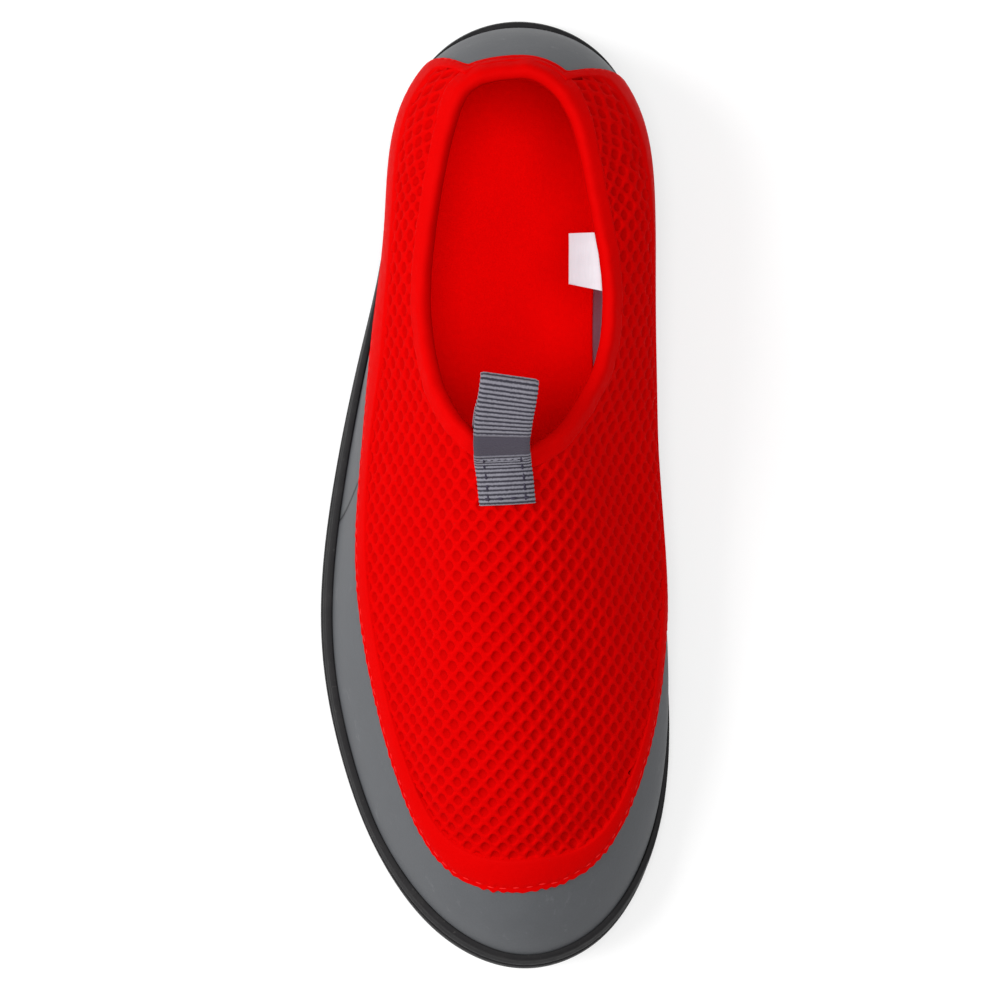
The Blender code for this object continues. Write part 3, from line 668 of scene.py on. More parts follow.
class Cloth:
    """The mesh cloth laid over the form: from u across and v along to places on the surface."""

    STEP_U = 0.0010
    STEP_V = 0.00155
    REACH = 0.098

    def __init__(self):
        self.form = last = form()
        faces = grid_faces(LEVELS, last.count, wrap_columns=True)
        self.tree = BVHTree.FromPolygons(last.points.reshape(-1, 3).tolist(), faces)
        self.throat = last.at(last.total)[:, 1].min()
        self.ridge()
        self.fan_v = FAN_START - self.throat
        self.v = np.arange(self.v_low, self.fan_v + FAN_RADIUS * FAN_TURN, self.STEP_V)
        self.u = np.arange(-self.REACH, self.REACH + self.STEP_U / 2, self.STEP_U)
        half = len(self.u) // 2
        table = np.zeros((len(self.v), len(self.u), 5))
        for j, v in enumerate(self.v):
            for side in (-1, 1):
                profile = self.profile(v, side)
                found = np.column_stack([
                    np.interp(self.u[half:], profile[:, 0], profile[:, i + 1]) for i in range(5)
                ])
                found[self.u[half:] > profile[-1, 0], 3] = -1
                if side > 0:
                    table[j, half:] = found
                else:
                    table[j, : half + 1] = found[::-1]
        self.places = table[..., :3]
        self.limits = table[..., 3:]
        across = np.gradient(self.places, axis=1)
        along = np.gradient(self.places, axis=0)
        normals = np.cross(across, along)
        self.normals = normals / np.maximum(np.linalg.norm(normals, axis=2), 1e-12)[..., None]

    def middle(self, y):
        """Where the weave's mid-line lies."""
        return float(np.interp(y, MIDLINE_Y, MIDLINE_X))

    def ridge(self):
        """The line down the instep to the toe, by its length from the throat."""
        places = []
        for y in np.linspace(self.throat - 0.0005, self.throat - RIDGE_REACH, RIDGE_STEPS):
            x = self.middle(y)
            place = self.tree.ray_cast(Vector((x, y, RAY_START)), Vector((0, 0, -1)))[0]
            if place is None:
                break
            places.append(place)
        places = np.array(places)
        length = running_length(places, closed=False)
        self.ridge_v, self.ridge_y, self.ridge_z = -length[::-1], places[::-1, 1], places[::-1, 2]
        self.v_low = self.ridge_v[0] + CLOTH_TOE_MARGIN

    def station(self, v, side):
        """Middle of a cross-section and its level direction to one side."""
        if v < 0:
            y = float(np.interp(v, self.ridge_v, self.ridge_y))
            top = float(np.interp(v, self.ridge_v, self.ridge_z))
            bed = float(bed_height(y))
            height = bed + STATION_SHARE * (top - bed)
            return Vector((self.middle(y), y, height)), Vector((side, 0, 0))
        y = min(self.throat + v, FAN_START)
        angle = max(v - self.fan_v, 0) / FAN_RADIUS
        way = Vector((side * math.cos(angle), math.sin(angle), 0))
        return Vector((self.middle(y), y, STATION_HEIGHT)), way

    def profile(self, v, side):
        """Rows of u, x, y, z, height above the grey's edge and depth below the collar, down one side."""
        middle, way = self.station(v, side)
        rows = []
        start = None
        for angle in np.radians(np.arange(90, -36, -1.0)):
            ray = way * math.cos(angle) + Vector((0, 0, math.sin(angle)))
            place, _, index, _ = self.tree.ray_cast(middle, ray)
            if place is None:
                if rows:
                    break
                continue
            if not rows:
                start = (place - middle).xy.length
                length = start
            else:
                length += (place - last_place).length
            last_place = place
            rows.append((length, *place, *self.limits_at(place, index)))
        if start > 1e-5:
            first = rows[0]
            rows.insert(0, (0.0, middle.x, middle.y, first[3], 0.05, -0.05))
            rows.insert(1, (start - 1e-5, *first[1:4], first[4], first[5]))
        return np.array(rows)

    def limits_at(self, place, index):
        """Height above the grey's edge and depth below the collar, at a place on a face."""
        last = self.form
        level, rib = divmod(index, last.count)
        other = (rib + 1) % last.count
        low, high = last.points[level, rib], last.points[level + 1, rib]
        step = high - low
        t = float(np.clip(np.dot(np.array(place) - low, step) / np.dot(step, step), 0, 1))
        aside = last.points[level, other] - low
        w = float(np.clip(np.dot(np.array(place) - low, aside) / np.dot(aside, aside), 0, 1))
        share = (level + t) / (LEVELS - 1)
        total = last.total[rib] * (1 - w) + last.total[other] * w
        border = last.border[rib] * (1 - w) + last.border[other] * w
        above = (share * total - border) / last.band[rib]
        return above, total - COLLAR_BAND * last.collar_share[rib] - share * total

    def sample(self, values, u, v):
        """Values of a table at places on the cloth, between its nearest four."""
        x = np.clip((u - self.u[0]) / self.STEP_U, 0, len(self.u) - 1.001)
        y = np.clip((v - self.v[0]) / self.STEP_V, 0, len(self.v) - 1.001)
        i, j = x.astype(int), y.astype(int)
        a, b = (x - i)[..., None], (y - j)[..., None]
        near = values[j, i] * (1 - a) + values[j, i + 1] * a
        far = values[j + 1, i] * (1 - a) + values[j + 1, i + 1] * a
        return near * (1 - b) + far * b

    def lift(self, u, v, height):
        """Points on the cloth, raised by height."""
        normals = self.sample(self.normals, u, v)
        normals /= np.linalg.norm(normals, axis=-1)[..., None]
        return self.sample(self.places, u, v) + normals * height[..., None]


@functools.lru_cache
def cloth():
    return Cloth()


def new_piece(
    name, points, faces, finish, slot, stands_for=(), marks=None, closed=True, weld=False, sharp=0
):
    """A finished piece from points in the form's coordinates, riding on the shoe's one body."""
    points = np.asarray(points, float).reshape(-1, 3) + shift()
    data = bpy.data.meshes.new(name)
    data.from_pydata(points.tolist(), [], faces)
    for mark, values in (marks or {}).items():
        layer = data.attributes.new(mark, "FLOAT", "POINT")
        layer.data.foreach_set("value", np.asarray(values, np.float32).ravel())
    if closed or weld:
        mesh = bmesh.new()
        mesh.from_mesh(data)
        if weld:
            bmesh.ops.remove_doubles(mesh, verts=mesh.verts, dist=2e-6)
        bmesh.ops.recalc_face_normals(mesh, faces=mesh.faces)
        mesh.to_mesh(data)
        mesh.free()
    data.materials.append(finish)
    data.shade_smooth()
    if sharp:
        data.set_sharp_from_angle(angle=math.radians(sharp))
    made = bpy.data.objects.new(name, data)
    bpy.context.scene.collection.objects.link(made)
    settle(made, stands_for)
    return made


def settle(made, stands_for=()):
    """Put a finished piece on the body, in place of the solids that it dresses."""
    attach(made, "root")
    for node in stands_for:
        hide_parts(node)


def round_piece(name, rings, finish, slot, stands_for=()):
    """A closed ring round the shoe whose section runs through the rows of rings."""
    rings = np.asarray(rings)
    faces = grid_faces(rings.shape[0], rings.shape[1], True, True)
    return new_piece(name, rings, faces, finish, slot, stands_for)


def strip_piece(name, outer, inner, finish, slot, stands_for=(), **more):
    """A panel between two grids of points, with its four edges closed."""
    rows, columns = outer.shape[:2]
    section = np.concatenate((outer, inner[::-1]))
    faces = grid_faces(2 * rows, columns, wrap_rows=True)
    index = np.arange(2 * rows * columns).reshape(2 * rows, columns)
    for column in (0, columns - 1):
        for k in range(rows - 1):
            other = 2 * rows - 1 - k
            corners = (k, k + 1, other - 1, other)
            faces.append([index[corner, column] for corner in corners])
    return new_piece(name, section, faces, finish, slot, stands_for, **more)


def chord_grid(ring, columns, crown=None):
    """Points across the shoe between the two sides of a ring, as rows from heel to toe."""
    count = len(ring)
    i = np.arange(count // 2 + 1)
    left, right = ring[i], ring[(count - i) % count]
    t = np.linspace(0, 1, columns + 1)[None, :, None]
    grid = left[:, None] * (1 - t) + right[:, None] * t
    if crown is not None:
        grid[..., 2] += crown(np.abs(2 * t[..., 0] - 1), grid)
    return grid


def capped(rings, caps):
    """Points and faces of a stack of rings, with grids of points across those that caps names."""
    rings = np.array(rings)
    points = list(rings.reshape(-1, 3))
    faces = grid_faces(rings.shape[0], rings.shape[1], wrap_columns=True)
    for row, columns, crown in caps:
        grid = chord_grid(rings[row], columns, crown)
        faces += grid_faces(grid.shape[0], grid.shape[1], start=len(points))
        points += list(grid.reshape(-1, 3))
    return points, faces


def section_curve(section, count):
    """A smooth closed curve through the few points of a section."""
    section = np.array(section, float)
    knots = running_length(section)
    return closed_spline(knots, section, np.arange(count) / count * knots[-1])


def smooth_path(points, count):
    """Points evenly spaced on the curve through rows of points."""
    points = np.asarray(points, float)
    ends = np.concatenate((2 * points[:1] - points[1:2], points, 2 * points[-1:] - points[-2:-1]))
    fine = []
    t = np.linspace(0, 1, 24, endpoint=False)
    t = t.reshape((-1,) + (1,) * (points.ndim - 1))
    for i in range(len(points) - 1):
        a, b, c, d = ends[i : i + 4]
        fine.append(
            0.5 * (2 * b + (c - a) * t + (2 * a - 5 * b + 4 * c - d) * t**2 + (3 * b - a - 3 * c + d) * t**3)
        )
    fine.append(points[-1:])
    fine = np.concatenate(fine)
    length = running_length(fine if fine.ndim == 2 else fine.mean(1), closed=False)
    wanted = np.linspace(0, length[-1], count)
    flat = fine.reshape(len(fine), -1)
    found = np.column_stack([np.interp(wanted, length, flat[:, k]) for k in range(flat.shape[1])])
    return found.reshape((count,) + fine.shape[1:]), wanted


class Term:
    """A socket whose arithmetic adds Math nodes."""

    def __init__(self, finish, socket):
        self.finish = finish
        self.socket = socket

    def __add__(self, other):
        return self.finish.math("ADD", self, other)

    def __radd__(self, other):
        return self.finish.math("ADD", other, self)

    def __sub__(self, other):
        return self.finish.math("SUBTRACT", self, other)

    def __rsub__(self, other):
        return self.finish.math("SUBTRACT", other, self)

    def __mul__(self, other):
        return self.finish.math("MULTIPLY", self, other)

    def __rmul__(self, other):
        return self.finish.math("MULTIPLY", other, self)

    def __truediv__(self, other):
        return self.finish.math("DIVIDE", self, other)

    def __pow__(self, other):
        return self.finish.math("POWER", self, other)


class Finish:
    """A material on the principled shader, put together node by node."""

    def __init__(self, name, roughness=0.6, **constants):
        self.material = bpy.data.materials.new(name)
        self.material.use_nodes = True
        self.tree = self.material.node_tree
        self.shader = self.tree.nodes["Principled BSDF"]
        self.shader.inputs["Roughness"].default_value = roughness
        for key, value in constants.items():
            self.shader.inputs[key.replace("_", " ")].default_value = value
        self.place = self.node("ShaderNodeTexCoord", output=3)

    def node(self, kind, settings=None, inputs=None, output=0):
        made = self.tree.nodes.new(kind)
        for key, value in (settings or {}).items():
            setattr(made, key, value)
        for key, value in (inputs or {}).items():
            self.join(made.inputs[key], value)
        return Term(self, made.outputs[output])

    def join(self, socket, value):
        if isinstance(value, Term):
            self.tree.links.new(value.socket, socket)
        elif isinstance(value, tuple) and len(value) == 3 and socket.type == "RGBA":
            socket.default_value = (*value, 1)
        else:
            socket.default_value = value

    def math(self, operation, *values):
        return self.node("ShaderNodeMath", {"operation": operation}, dict(enumerate(values)))

    def noise(self, size, detail=2.0, rough=0.5, where=None, stretch=None):
        """Noise from 0 to 1 with features of about size metres."""
        where = where or self.place
        if stretch:
            where = self.node("ShaderNodeMapping", None, {0: where, 3: stretch})
        inputs = {"Vector": where, "Scale": 1 / size, "Detail": detail, "Roughness": rough}
        return self.node("ShaderNodeTexNoise", None, inputs)

    def mark(self, name):
        """An attribute of the mesh."""
        return self.node("ShaderNodeAttribute", {"attribute_name": name}, output=2)

    def ramp(self, value, low, high):
        """0 where value is under low, 1 over high, soft between."""
        inputs = {0: value, 1: low, 2: high, 3: 0.0, 4: 1.0}
        return self.node("ShaderNodeMapRange", {"interpolation_type": "SMOOTHSTEP"}, inputs)

    def mix(self, factor, one, other):
        """A colour between two others."""
        return self.node("ShaderNodeMix", {"data_type": "RGBA"}, {0: factor, 6: one, 7: other}, 2)

    def shade(self, colour, value):
        """A colour made lighter or darker."""
        return self.node("ShaderNodeVectorMath", {"operation": "SCALE"}, {0: colour, 3: value})

    def feed(self, name, value):
        self.join(self.shader.inputs[name], value)

    def dress(self, colour, roughness, height):
        """The material with its colour, roughness and a bump from heights in millimetres."""
        self.feed("Base Color", colour)
        self.feed("Roughness", roughness)
        inputs = {"Height": height, "Distance": 0.001, "Strength": 1.0}
        self.feed("Normal", self.node("ShaderNodeBump", None, inputs))
        return self.material


# Colours that no slider needs: scuffs on the grey, wear, dust and specks on the rubber, the board
# and a thread; then how dark the pits, the panels' seam edges and the webbing's grooves and smooth
# stretch are, as shares of their own colour; the darker pits, grooves and smooth stretch are painted
# shade
SCUFF = (0.34, 0.34, 0.36)
WORN_RUBBER = (0.022, 0.021, 0.022)
DUST = (0.11, 0.105, 0.10)
SPECK = (0.18, 0.17, 0.16)
BOARD = (0.34, 0.30, 0.42)
BAND_THREAD = ("light_red_thread", (0.74, 0.010, 0.010), 0.6)
PIT_PAINTED_SHADE = 0.82
SEAM_SHADE = 0.35
WEBBING_GROOVE_SHADE = (0.12, 0.11, 0.15)
WEBBING_PLAIN_SHADE = (0.28, 0.25, 0.30)


def times(colour, factors):
    """A colour with each of its channels taken times a factor."""
    factors = np.broadcast_to(factors, 3).tolist()
    return tuple(channel * factor for channel, factor in zip(colour, factors))


def red_mesh(red):
    """Knitted air mesh: bright soft strands round pits darkened as painted shade."""
    finish = Finish("red_air_mesh", 0.8, Specular_IOR_Level=0.01)
    pit = finish.mark("pit")
    tone = finish.noise(0.012, 3) * 0.10 + finish.noise(0.0009, 2) * 0.16 + 0.87
    strand = finish.shade(red, tone)
    # The pits are painted darker, as painted shade, by the pit mark
    colour = finish.mix(finish.ramp(pit, 0.25, 1.0), strand, times(red, PIT_PAINTED_SHADE))
    return finish.dress(colour, finish.noise(0.002, 2) * 0.2 + 0.65, finish.noise(0.0005, 2, 0.6) * 0.10)


def red_cloth(name, red, grain=0.0005, deep=0.06, gloss=0.6):
    """Smooth knit or brushed cloth."""
    finish = Finish(name, gloss, Specular_IOR_Level=0.01)
    tone = finish.noise(0.015, 3) * 0.10 + finish.noise(grain * 2, 2) * 0.10 + 0.90
    colour = finish.shade(red, tone)
    pile = finish.noise(grain, 3, 0.6) * deep + finish.noise(0.006, 2) * 0.25
    return finish.dress(colour, finish.noise(0.003, 2) * 0.25 + (gloss - 0.1), pile)


def grey_panel(grey):
    """Matt coated synthetic with a fine nap and faint scuffs."""
    finish = Finish("grey_coated_synthetic", 0.5, Specular_IOR_Level=0.22)
    mottle = finish.noise(0.010, 4, 0.6)
    nap = finish.noise(0.0006, 3, 0.65)
    scuff = finish.ramp(finish.noise(0.004, 5, 0.7, stretch=(1.0, 0.35, 1.0)), 0.60, 0.78)
    tone = mottle * 0.22 + nap * 0.22 + 0.78
    worn = finish.mix(scuff * 0.18, finish.shade(grey, tone), SCUFF)
    edge = finish.mark("edge")
    colour = finish.mix(edge * 0.7, worn, times(grey, SEAM_SHADE))
    height = nap * 0.05 + finish.noise(0.0025, 3) * 0.06
    return finish.dress(colour, mottle * 0.20 + nap * 0.12 + 0.40, height)


def dark_rubber(rubber):
    """Moulded rubber, dusty and worn lighter along its edges."""
    finish = Finish("dark_moulded_rubber", 0.6, Specular_IOR_Level=0.10)
    wear = finish.mark("wear")
    dust = finish.ramp(finish.noise(0.006, 5, 0.7), 0.42, 0.75)
    speck = finish.ramp(finish.noise(0.0012, 3, 0.6), 0.62, 0.74)
    base = finish.shade(rubber, finish.noise(0.004, 3) * 0.5 + 0.75)
    light = finish.mix(wear, base, WORN_RUBBER)
    dusty = finish.mix(dust * 0.07, light, DUST)
    colour = finish.mix(speck * 0.12, dusty, SPECK)
    height = finish.noise(0.0008, 3, 0.6) * 0.06 + finish.noise(0.005, 2) * 0.08
    return finish.dress(colour, finish.noise(0.003, 3) * 0.25 + 0.45, height)


def ribbed_webbing(webbing):
    """Woven webbing with light ribs, grooves painted darker as painted shade, and a smooth stretch painted
    darker as painted shade.
    """
    finish = Finish("ribbed_webbing", 0.7, Specular_IOR_Level=0.3, Sheen_Weight=0.1)
    rib, plain = finish.mark("rib"), finish.mark("plain")
    yarn = finish.noise(0.0005, 2, 0.6)
    light = finish.shade(webbing, yarn * 0.5 + 0.75)
    uneven = rib + yarn * 0.9 - 0.45
    # The grooves between the ribs are painted darker, as painted shade, by the rib mark
    woven = finish.mix(finish.ramp(uneven, 0.15, 0.75), times(webbing, WEBBING_GROOVE_SHADE), light)
    # The smooth stretch is painted darker, as painted shade, by the plain mark
    colour = finish.mix(plain, woven, times(webbing, WEBBING_PLAIN_SHADE))
    return finish.dress(colour, yarn * 0.3 + 0.55, yarn * 0.12)


def label_cloth(white):
    """Fine woven satin with a sheen."""
    finish = Finish("blank_label_satin", 0.45, Specular_IOR_Level=0.4)
    lines = finish.noise(0.0006, 2, 0.5, stretch=(1.0, 0.12, 1.0))
    cross = finish.noise(0.0006, 2, 0.5, stretch=(0.12, 1.0, 0.12))
    colour = finish.shade(white, lines * 0.10 + finish.noise(0.004, 2) * 0.08 + 0.90)
    return finish.dress(colour, cross * 0.25 + 0.35, lines * 0.05 + cross * 0.05)


def thread(name, colour, gloss):
    """Sewing thread, spun and slightly uneven."""
    finish = Finish(name, gloss, Specular_IOR_Level=0.15)
    colour = finish.shade(colour, finish.noise(0.0004, 2) * 0.3 + 0.85)
    return finish.dress(colour, finish.noise(0.0005, 2) * 0.2 + gloss - 0.1, finish.noise(0.00025, 2) * 0.04)


@functools.lru_cache
def loop_thread(*yarn):
    """The thread of a colour, made once for all its rows."""
    return thread(*yarn)


def board_felt():
    """The grey-violet board under the insole."""
    finish = Finish("lasting_board_felt", 0.85, Specular_IOR_Level=0.2)
    fibre = finish.noise(0.0007, 4, 0.7)
    colour = finish.shade(BOARD, fibre * 0.5 + 0.75)
    return finish.dress(colour, fibre * 0.1 + 0.8, fibre * 0.08)


# Shortest and longest stitch of a run, as shares of its length
STITCH_LENGTHS = (0.82, 1.12)


@functools.lru_cache
def stitch_tree():
    """Geometry Nodes that lay one rounded stitch at every step along the curves they are given."""
    tree = bpy.data.node_groups.new("stitch_run", "GeometryNodeTree")
    face = tree.interface
    face.new_socket(name="Geometry", in_out="INPUT", socket_type="NodeSocketGeometry")
    for name, default in (("Pitch", 0.004), ("Length", 0.0026), ("Thickness", 0.0005)):
        face.new_socket(name=name, in_out="INPUT", socket_type="NodeSocketFloat").default_value = default
    face.new_socket(name="Seed", in_out="INPUT", socket_type="NodeSocketInt").default_value = 3
    face.new_socket(name="Thread", in_out="INPUT", socket_type="NodeSocketMaterial")
    face.new_socket(name="Geometry", in_out="OUTPUT", socket_type="NodeSocketGeometry")

    def add(kind, **settings):
        made = tree.nodes.new(kind)
        for key, value in settings.items():
            setattr(made, key, value)
        return made

    given, end = add("NodeGroupInput"), add("NodeGroupOutput")
    resample = add("GeometryNodeResampleCurve", mode="LENGTH")
    tangent = add("GeometryNodeInputTangent")
    align = add("FunctionNodeAlignRotationToVector", axis="Z")
    ball = add("GeometryNodeMeshUVSphere")
    for key, value in (("Segments", 6), ("Rings", 5), ("Radius", 0.5)):
        ball.inputs[key].default_value = value
    uneven = add("FunctionNodeRandomValue", data_type="FLOAT")
    for socket, value in zip((2, 3), STITCH_LENGTHS):
        uneven.inputs[socket].default_value = value
    stretch = add("ShaderNodeMath", operation="MULTIPLY")
    size = add("ShaderNodeCombineXYZ")
    place = add("GeometryNodeInstanceOnPoints")
    real = add("GeometryNodeRealizeInstances")
    smooth = add("GeometryNodeSetShadeSmooth")
    paint = add("GeometryNodeSetMaterial")
    links = (
        (given, "Geometry", resample, "Curve"),
        (given, "Pitch", resample, "Length"),
        (tangent, 0, align, "Vector"),
        (given, "Seed", uneven, "Seed"),
        (given, "Length", stretch, 0),
        (uneven, 1, stretch, 1),
        (given, "Thickness", size, "X"),
        (given, "Thickness", size, "Y"),
        (stretch, 0, size, "Z"),
        (resample, "Curve", place, "Points"),
        (ball, "Mesh", place, "Instance"),
        (align, 0, place, "Rotation"),
        (size, 0, place, "Scale"),
        (place, "Instances", real, "Geometry"),
        (real, "Geometry", smooth, "Geometry"),
        (smooth, "Geometry", paint, "Geometry"),
        (given, "Thread", paint, "Material"),
        (paint, "Geometry", end, "Geometry"),
    )
    for source, output, target, socket in links:
        tree.links.new(source.outputs[output], target.inputs[socket])
    return tree


def stitches(name, runs, finish, slot, **sizes):
    """A piece of stitches along runs of points in the form's coordinates."""
    curve = bpy.data.curves.new(name + "_path", "CURVE")
    curve.dimensions = "3D"
    for run in runs:
        run = np.asarray(run) + shift()
        spline = curve.splines.new("POLY")
        spline.points.add(len(run) - 1)
        spline.points.foreach_set("co", np.column_stack((run, np.ones(len(run)))).ravel())
    path = bpy.data.objects.new(name + "_path", curve)
    bpy.context.scene.collection.objects.link(path)
    lay = path.modifiers.new("stitch_run", "NODES")
    tree = lay.node_group = stitch_tree()
    given = {i.name: i.identifier for i in tree.interface.items_tree if i.in_out == "INPUT"}
    for key, value in dict(sizes, Thread=finish).items():
        lay[given[key]] = value
    graph = bpy.context.evaluated_depsgraph_get()
    data = bpy.data.meshes.new_from_object(path.evaluated_get(graph))
    bpy.data.objects.remove(path)
    if len(data.vertices) == 0:
        raise RuntimeError(f"no stitches were laid for {name}")
    data.name = name
    made = bpy.data.objects.new(name, data)
    bpy.context.scene.collection.objects.link(made)
    settle(made)
    return made


def build_sole(colours):
    """The rubber cup with its rim, its grooved side and the tread under it."""
    last = form()
    outline, out = last.outline, last.outline_out
    bottom = bottom_height(outline[:, 0], outline[:, 1])
    inner_top = last.at(last.rim_distance(), MESH_PROUD - GAP)
    inner_middle = last.at(last.rim_distance() / 2, MESH_PROUD - GAP)
    inner_foot = last.at(0, MESH_PROUD - GAP)
    inner_foot[:, 2] -= GAP

    def ring(inset, height):
        return np.column_stack((outline - out * inset, np.broadcast_to(height, bottom.shape)))

    low = ring(0.0, bottom + EDGE_ROUND)
    high = inner_top.copy()
    high[:, :2] += out * RIM_THICKNESS
    rings, wear = [], []

    def put(points, value):
        rings.append(points)
        wear.append(np.broadcast_to(value, len(points)))

    put(ring(TREAD_WELT + 0.006, bottom + TREAD_DEPTH), 0.0)
    put(ring(TREAD_WELT + 0.0002, bottom + TREAD_DEPTH), 0.0)
    put(ring(TREAD_WELT, bottom + TREAD_DEPTH - 0.0003), 0.0)
    put(ring(TREAD_WELT, bottom + 0.0004), 0.2)
    put(ring(TREAD_WELT - 0.0004, bottom), 0.6)
    put(ring(EDGE_ROUND * 1.3, bottom), 0.5)
    for turn in np.radians((0, 20, 40, 60, 80)):
        inset = EDGE_ROUND * (1 - math.sin(turn))
        put(ring(inset, bottom + EDGE_ROUND * (1 - math.cos(turn))), 0.55)
    for share in SIDE_SHARES:
        points = low + (high - low) * share
        bulge = SIDE_BULGE * math.sin(math.pi * min(share * 1.1, 1.0))
        dip = SIDE_GROOVE_DEPTH * math.exp(-(((share - SIDE_GROOVE_AT) / SIDE_GROOVE_WIDTH) ** 2))
        points[:, :2] += out * (bulge - dip)
        edge = 0.16
        for side in (1, -1):
            edge += 0.35 * math.exp(-(((share - SIDE_GROOVE_AT + side * SIDE_EDGE_FROM) / 0.04) ** 2))
        put(points, edge + 0.5 * smooth_step(0.84, 0.93, share))
    for inset, drop in RIM_RINGS:
        points = high * (1 - inset) + inner_top * inset
        points[:, 2] -= drop * EDGE_ROUND
        put(points, 0.75 - 0.3 * inset)
    put(inner_middle, 0.0)
    put(inner_foot, 0.0)
    points, faces = capped(rings, ((0, SOLE_CAP_COLUMNS, None), (-1, SOLE_CAP_COLUMNS, None)))
    marks = np.zeros(len(points))
    marks[: len(rings) * last.count] = np.array(wear).ravel()
    rubber = dark_rubber(colours.rubber)
    new_piece(
        "outsole_skin", points, faces, rubber, "outsole", ("outsole",),
        marks={"wear": marks}, weld=True, sharp=48,
    )
    build_tread(rubber)


def build_tread(rubber):
    """The tread plate with its waved grooves, inside a groove that follows the sole's edge."""
    last = form()
    inner = last.outline - last.outline_out * (TREAD_WELT + TREAD_GROOVE)
    toe, heel = inner[:, 1].argmin(), inner[:, 1].argmax()
    order = np.roll(np.arange(last.count), -heel)
    middle = int(np.where(order == toe)[0][0])
    sides = [inner[order[: middle + 1]], inner[np.append(order[middle:], order[0])][::-1]]
    low_y, high_y = inner[toe, 1], inner[heel, 1]
    wanted = list(np.linspace(low_y + 0.0002, high_y - 0.0002, 110))
    grooves = []
    for start, end in TREAD_ZONES:
        for k in range(int((end - start) * SHOE_LENGTH / TREAD_PITCH) + 1):
            middle_y = SHOE_LENGTH * (0.5 - start) - k * TREAD_PITCH
            grooves.append(middle_y)
            for side in (-1, 1):
                wanted += [middle_y + side * step for step in (0.0010, 0.0013, 0.0015, 0.0017)]
    wanted = np.array(sorted(wanted))
    keep = np.concatenate(([True], np.diff(wanted) > 0.00012))
    y = wanted[keep]
    spans = []
    for side in sides:
        rising = side[np.argsort(side[:, 1])]
        spans.append(np.interp(y, rising[:, 1], rising[:, 0]))
    left, right = np.minimum(*spans), np.maximum(*spans)
    shares = np.concatenate(([0, 0.015, 0.04], np.linspace(0.06, 0.94, 45), [0.96, 0.985, 1]))
    x = left[:, None] + (right - left)[:, None] * shares
    place = np.broadcast_to(y[:, None], x.shape).copy()
    inset = TREAD_MARGIN - TREAD_WELT - TREAD_GROOVE
    span_low, span_high = left + inset, right - inset
    share = (x - span_low[:, None]) / np.maximum(span_high - span_low, 0.004)[:, None]
    ends = soft_window((-0.12, 0.0), (1.0, 1.12), share)
    zone = sum(
        smooth_step(SHOE_LENGTH * (0.5 - b) - 0.004, SHOE_LENGTH * (0.5 - b), y)
        * (1 - smooth_step(SHOE_LENGTH * (0.5 - a), SHOE_LENGTH * (0.5 - a) + 0.004, y))
        for a, b in TREAD_ZONES
    )
    place += TREAD_WAVE * np.cos(2 * math.pi * np.clip(share, 0, 1)) * ends * zone[:, None]
    nearest = np.abs(y[:, None] - np.array(grooves)).min(1)
    cut = 1 - smooth_step(*TREAD_CUT, nearest)
    inside = soft_window((-0.02, 0.0), (1.0, 1.02), share)
    bottom = bottom_height(x, place)
    face = bottom + TREAD_DEPTH * cut[:, None] * inside * 0.98
    top = bottom + TREAD_DEPTH + 0.0005
    rows, columns = x.shape
    under = np.stack((x, place, face), -1)
    over = np.stack((x, place, top), -1)
    wear = 0.5 * (1 - cut[:, None] * inside) + 0.1
    marks = np.concatenate((wear.ravel(), np.zeros(wear.size)))
    faces = grid_faces(rows, columns)
    faces += grid_faces(rows, columns, start=rows * columns)
    index = np.arange(rows * columns).reshape(rows, columns)
    border = np.concatenate((index[0], index[1:, -1], index[-1, -2::-1], index[-2:0:-1, 0]))
    after = np.roll(border, -1)
    size = rows * columns
    faces += np.stack((border, after, after + size, border + size), -1).tolist()
    new_piece(
        "tread_plate", np.stack((under, over)), faces, rubber, "outsole", marks={"wear": marks}, sharp=40
    )


def build_lining(colours):
    """The inner wall of the upper, from the sole up to the collar."""
    last = form()
    shares = np.linspace(0, 1, LINING_ROWS)
    outer = [last.at((last.collar_low + LINING_TUCK_OUTER) * share, LINING_DEPTH) for share in shares]
    inner = [last.at((last.collar_low + LINING_TUCK_INNER) * share, WALL) for share in shares[::-1]]
    # Painted light: the lining's red is lighter than the mesh's to make up for the dimmer light inside the
    # shoe
    cloth_red = red_cloth("red_lining", times(colours.red, LINING_PAINTED_LIGHT), 0.0006, 0.08, 0.75)
    round_piece("upper_lining", outer + inner, cloth_red, "mesh", ("upper",))


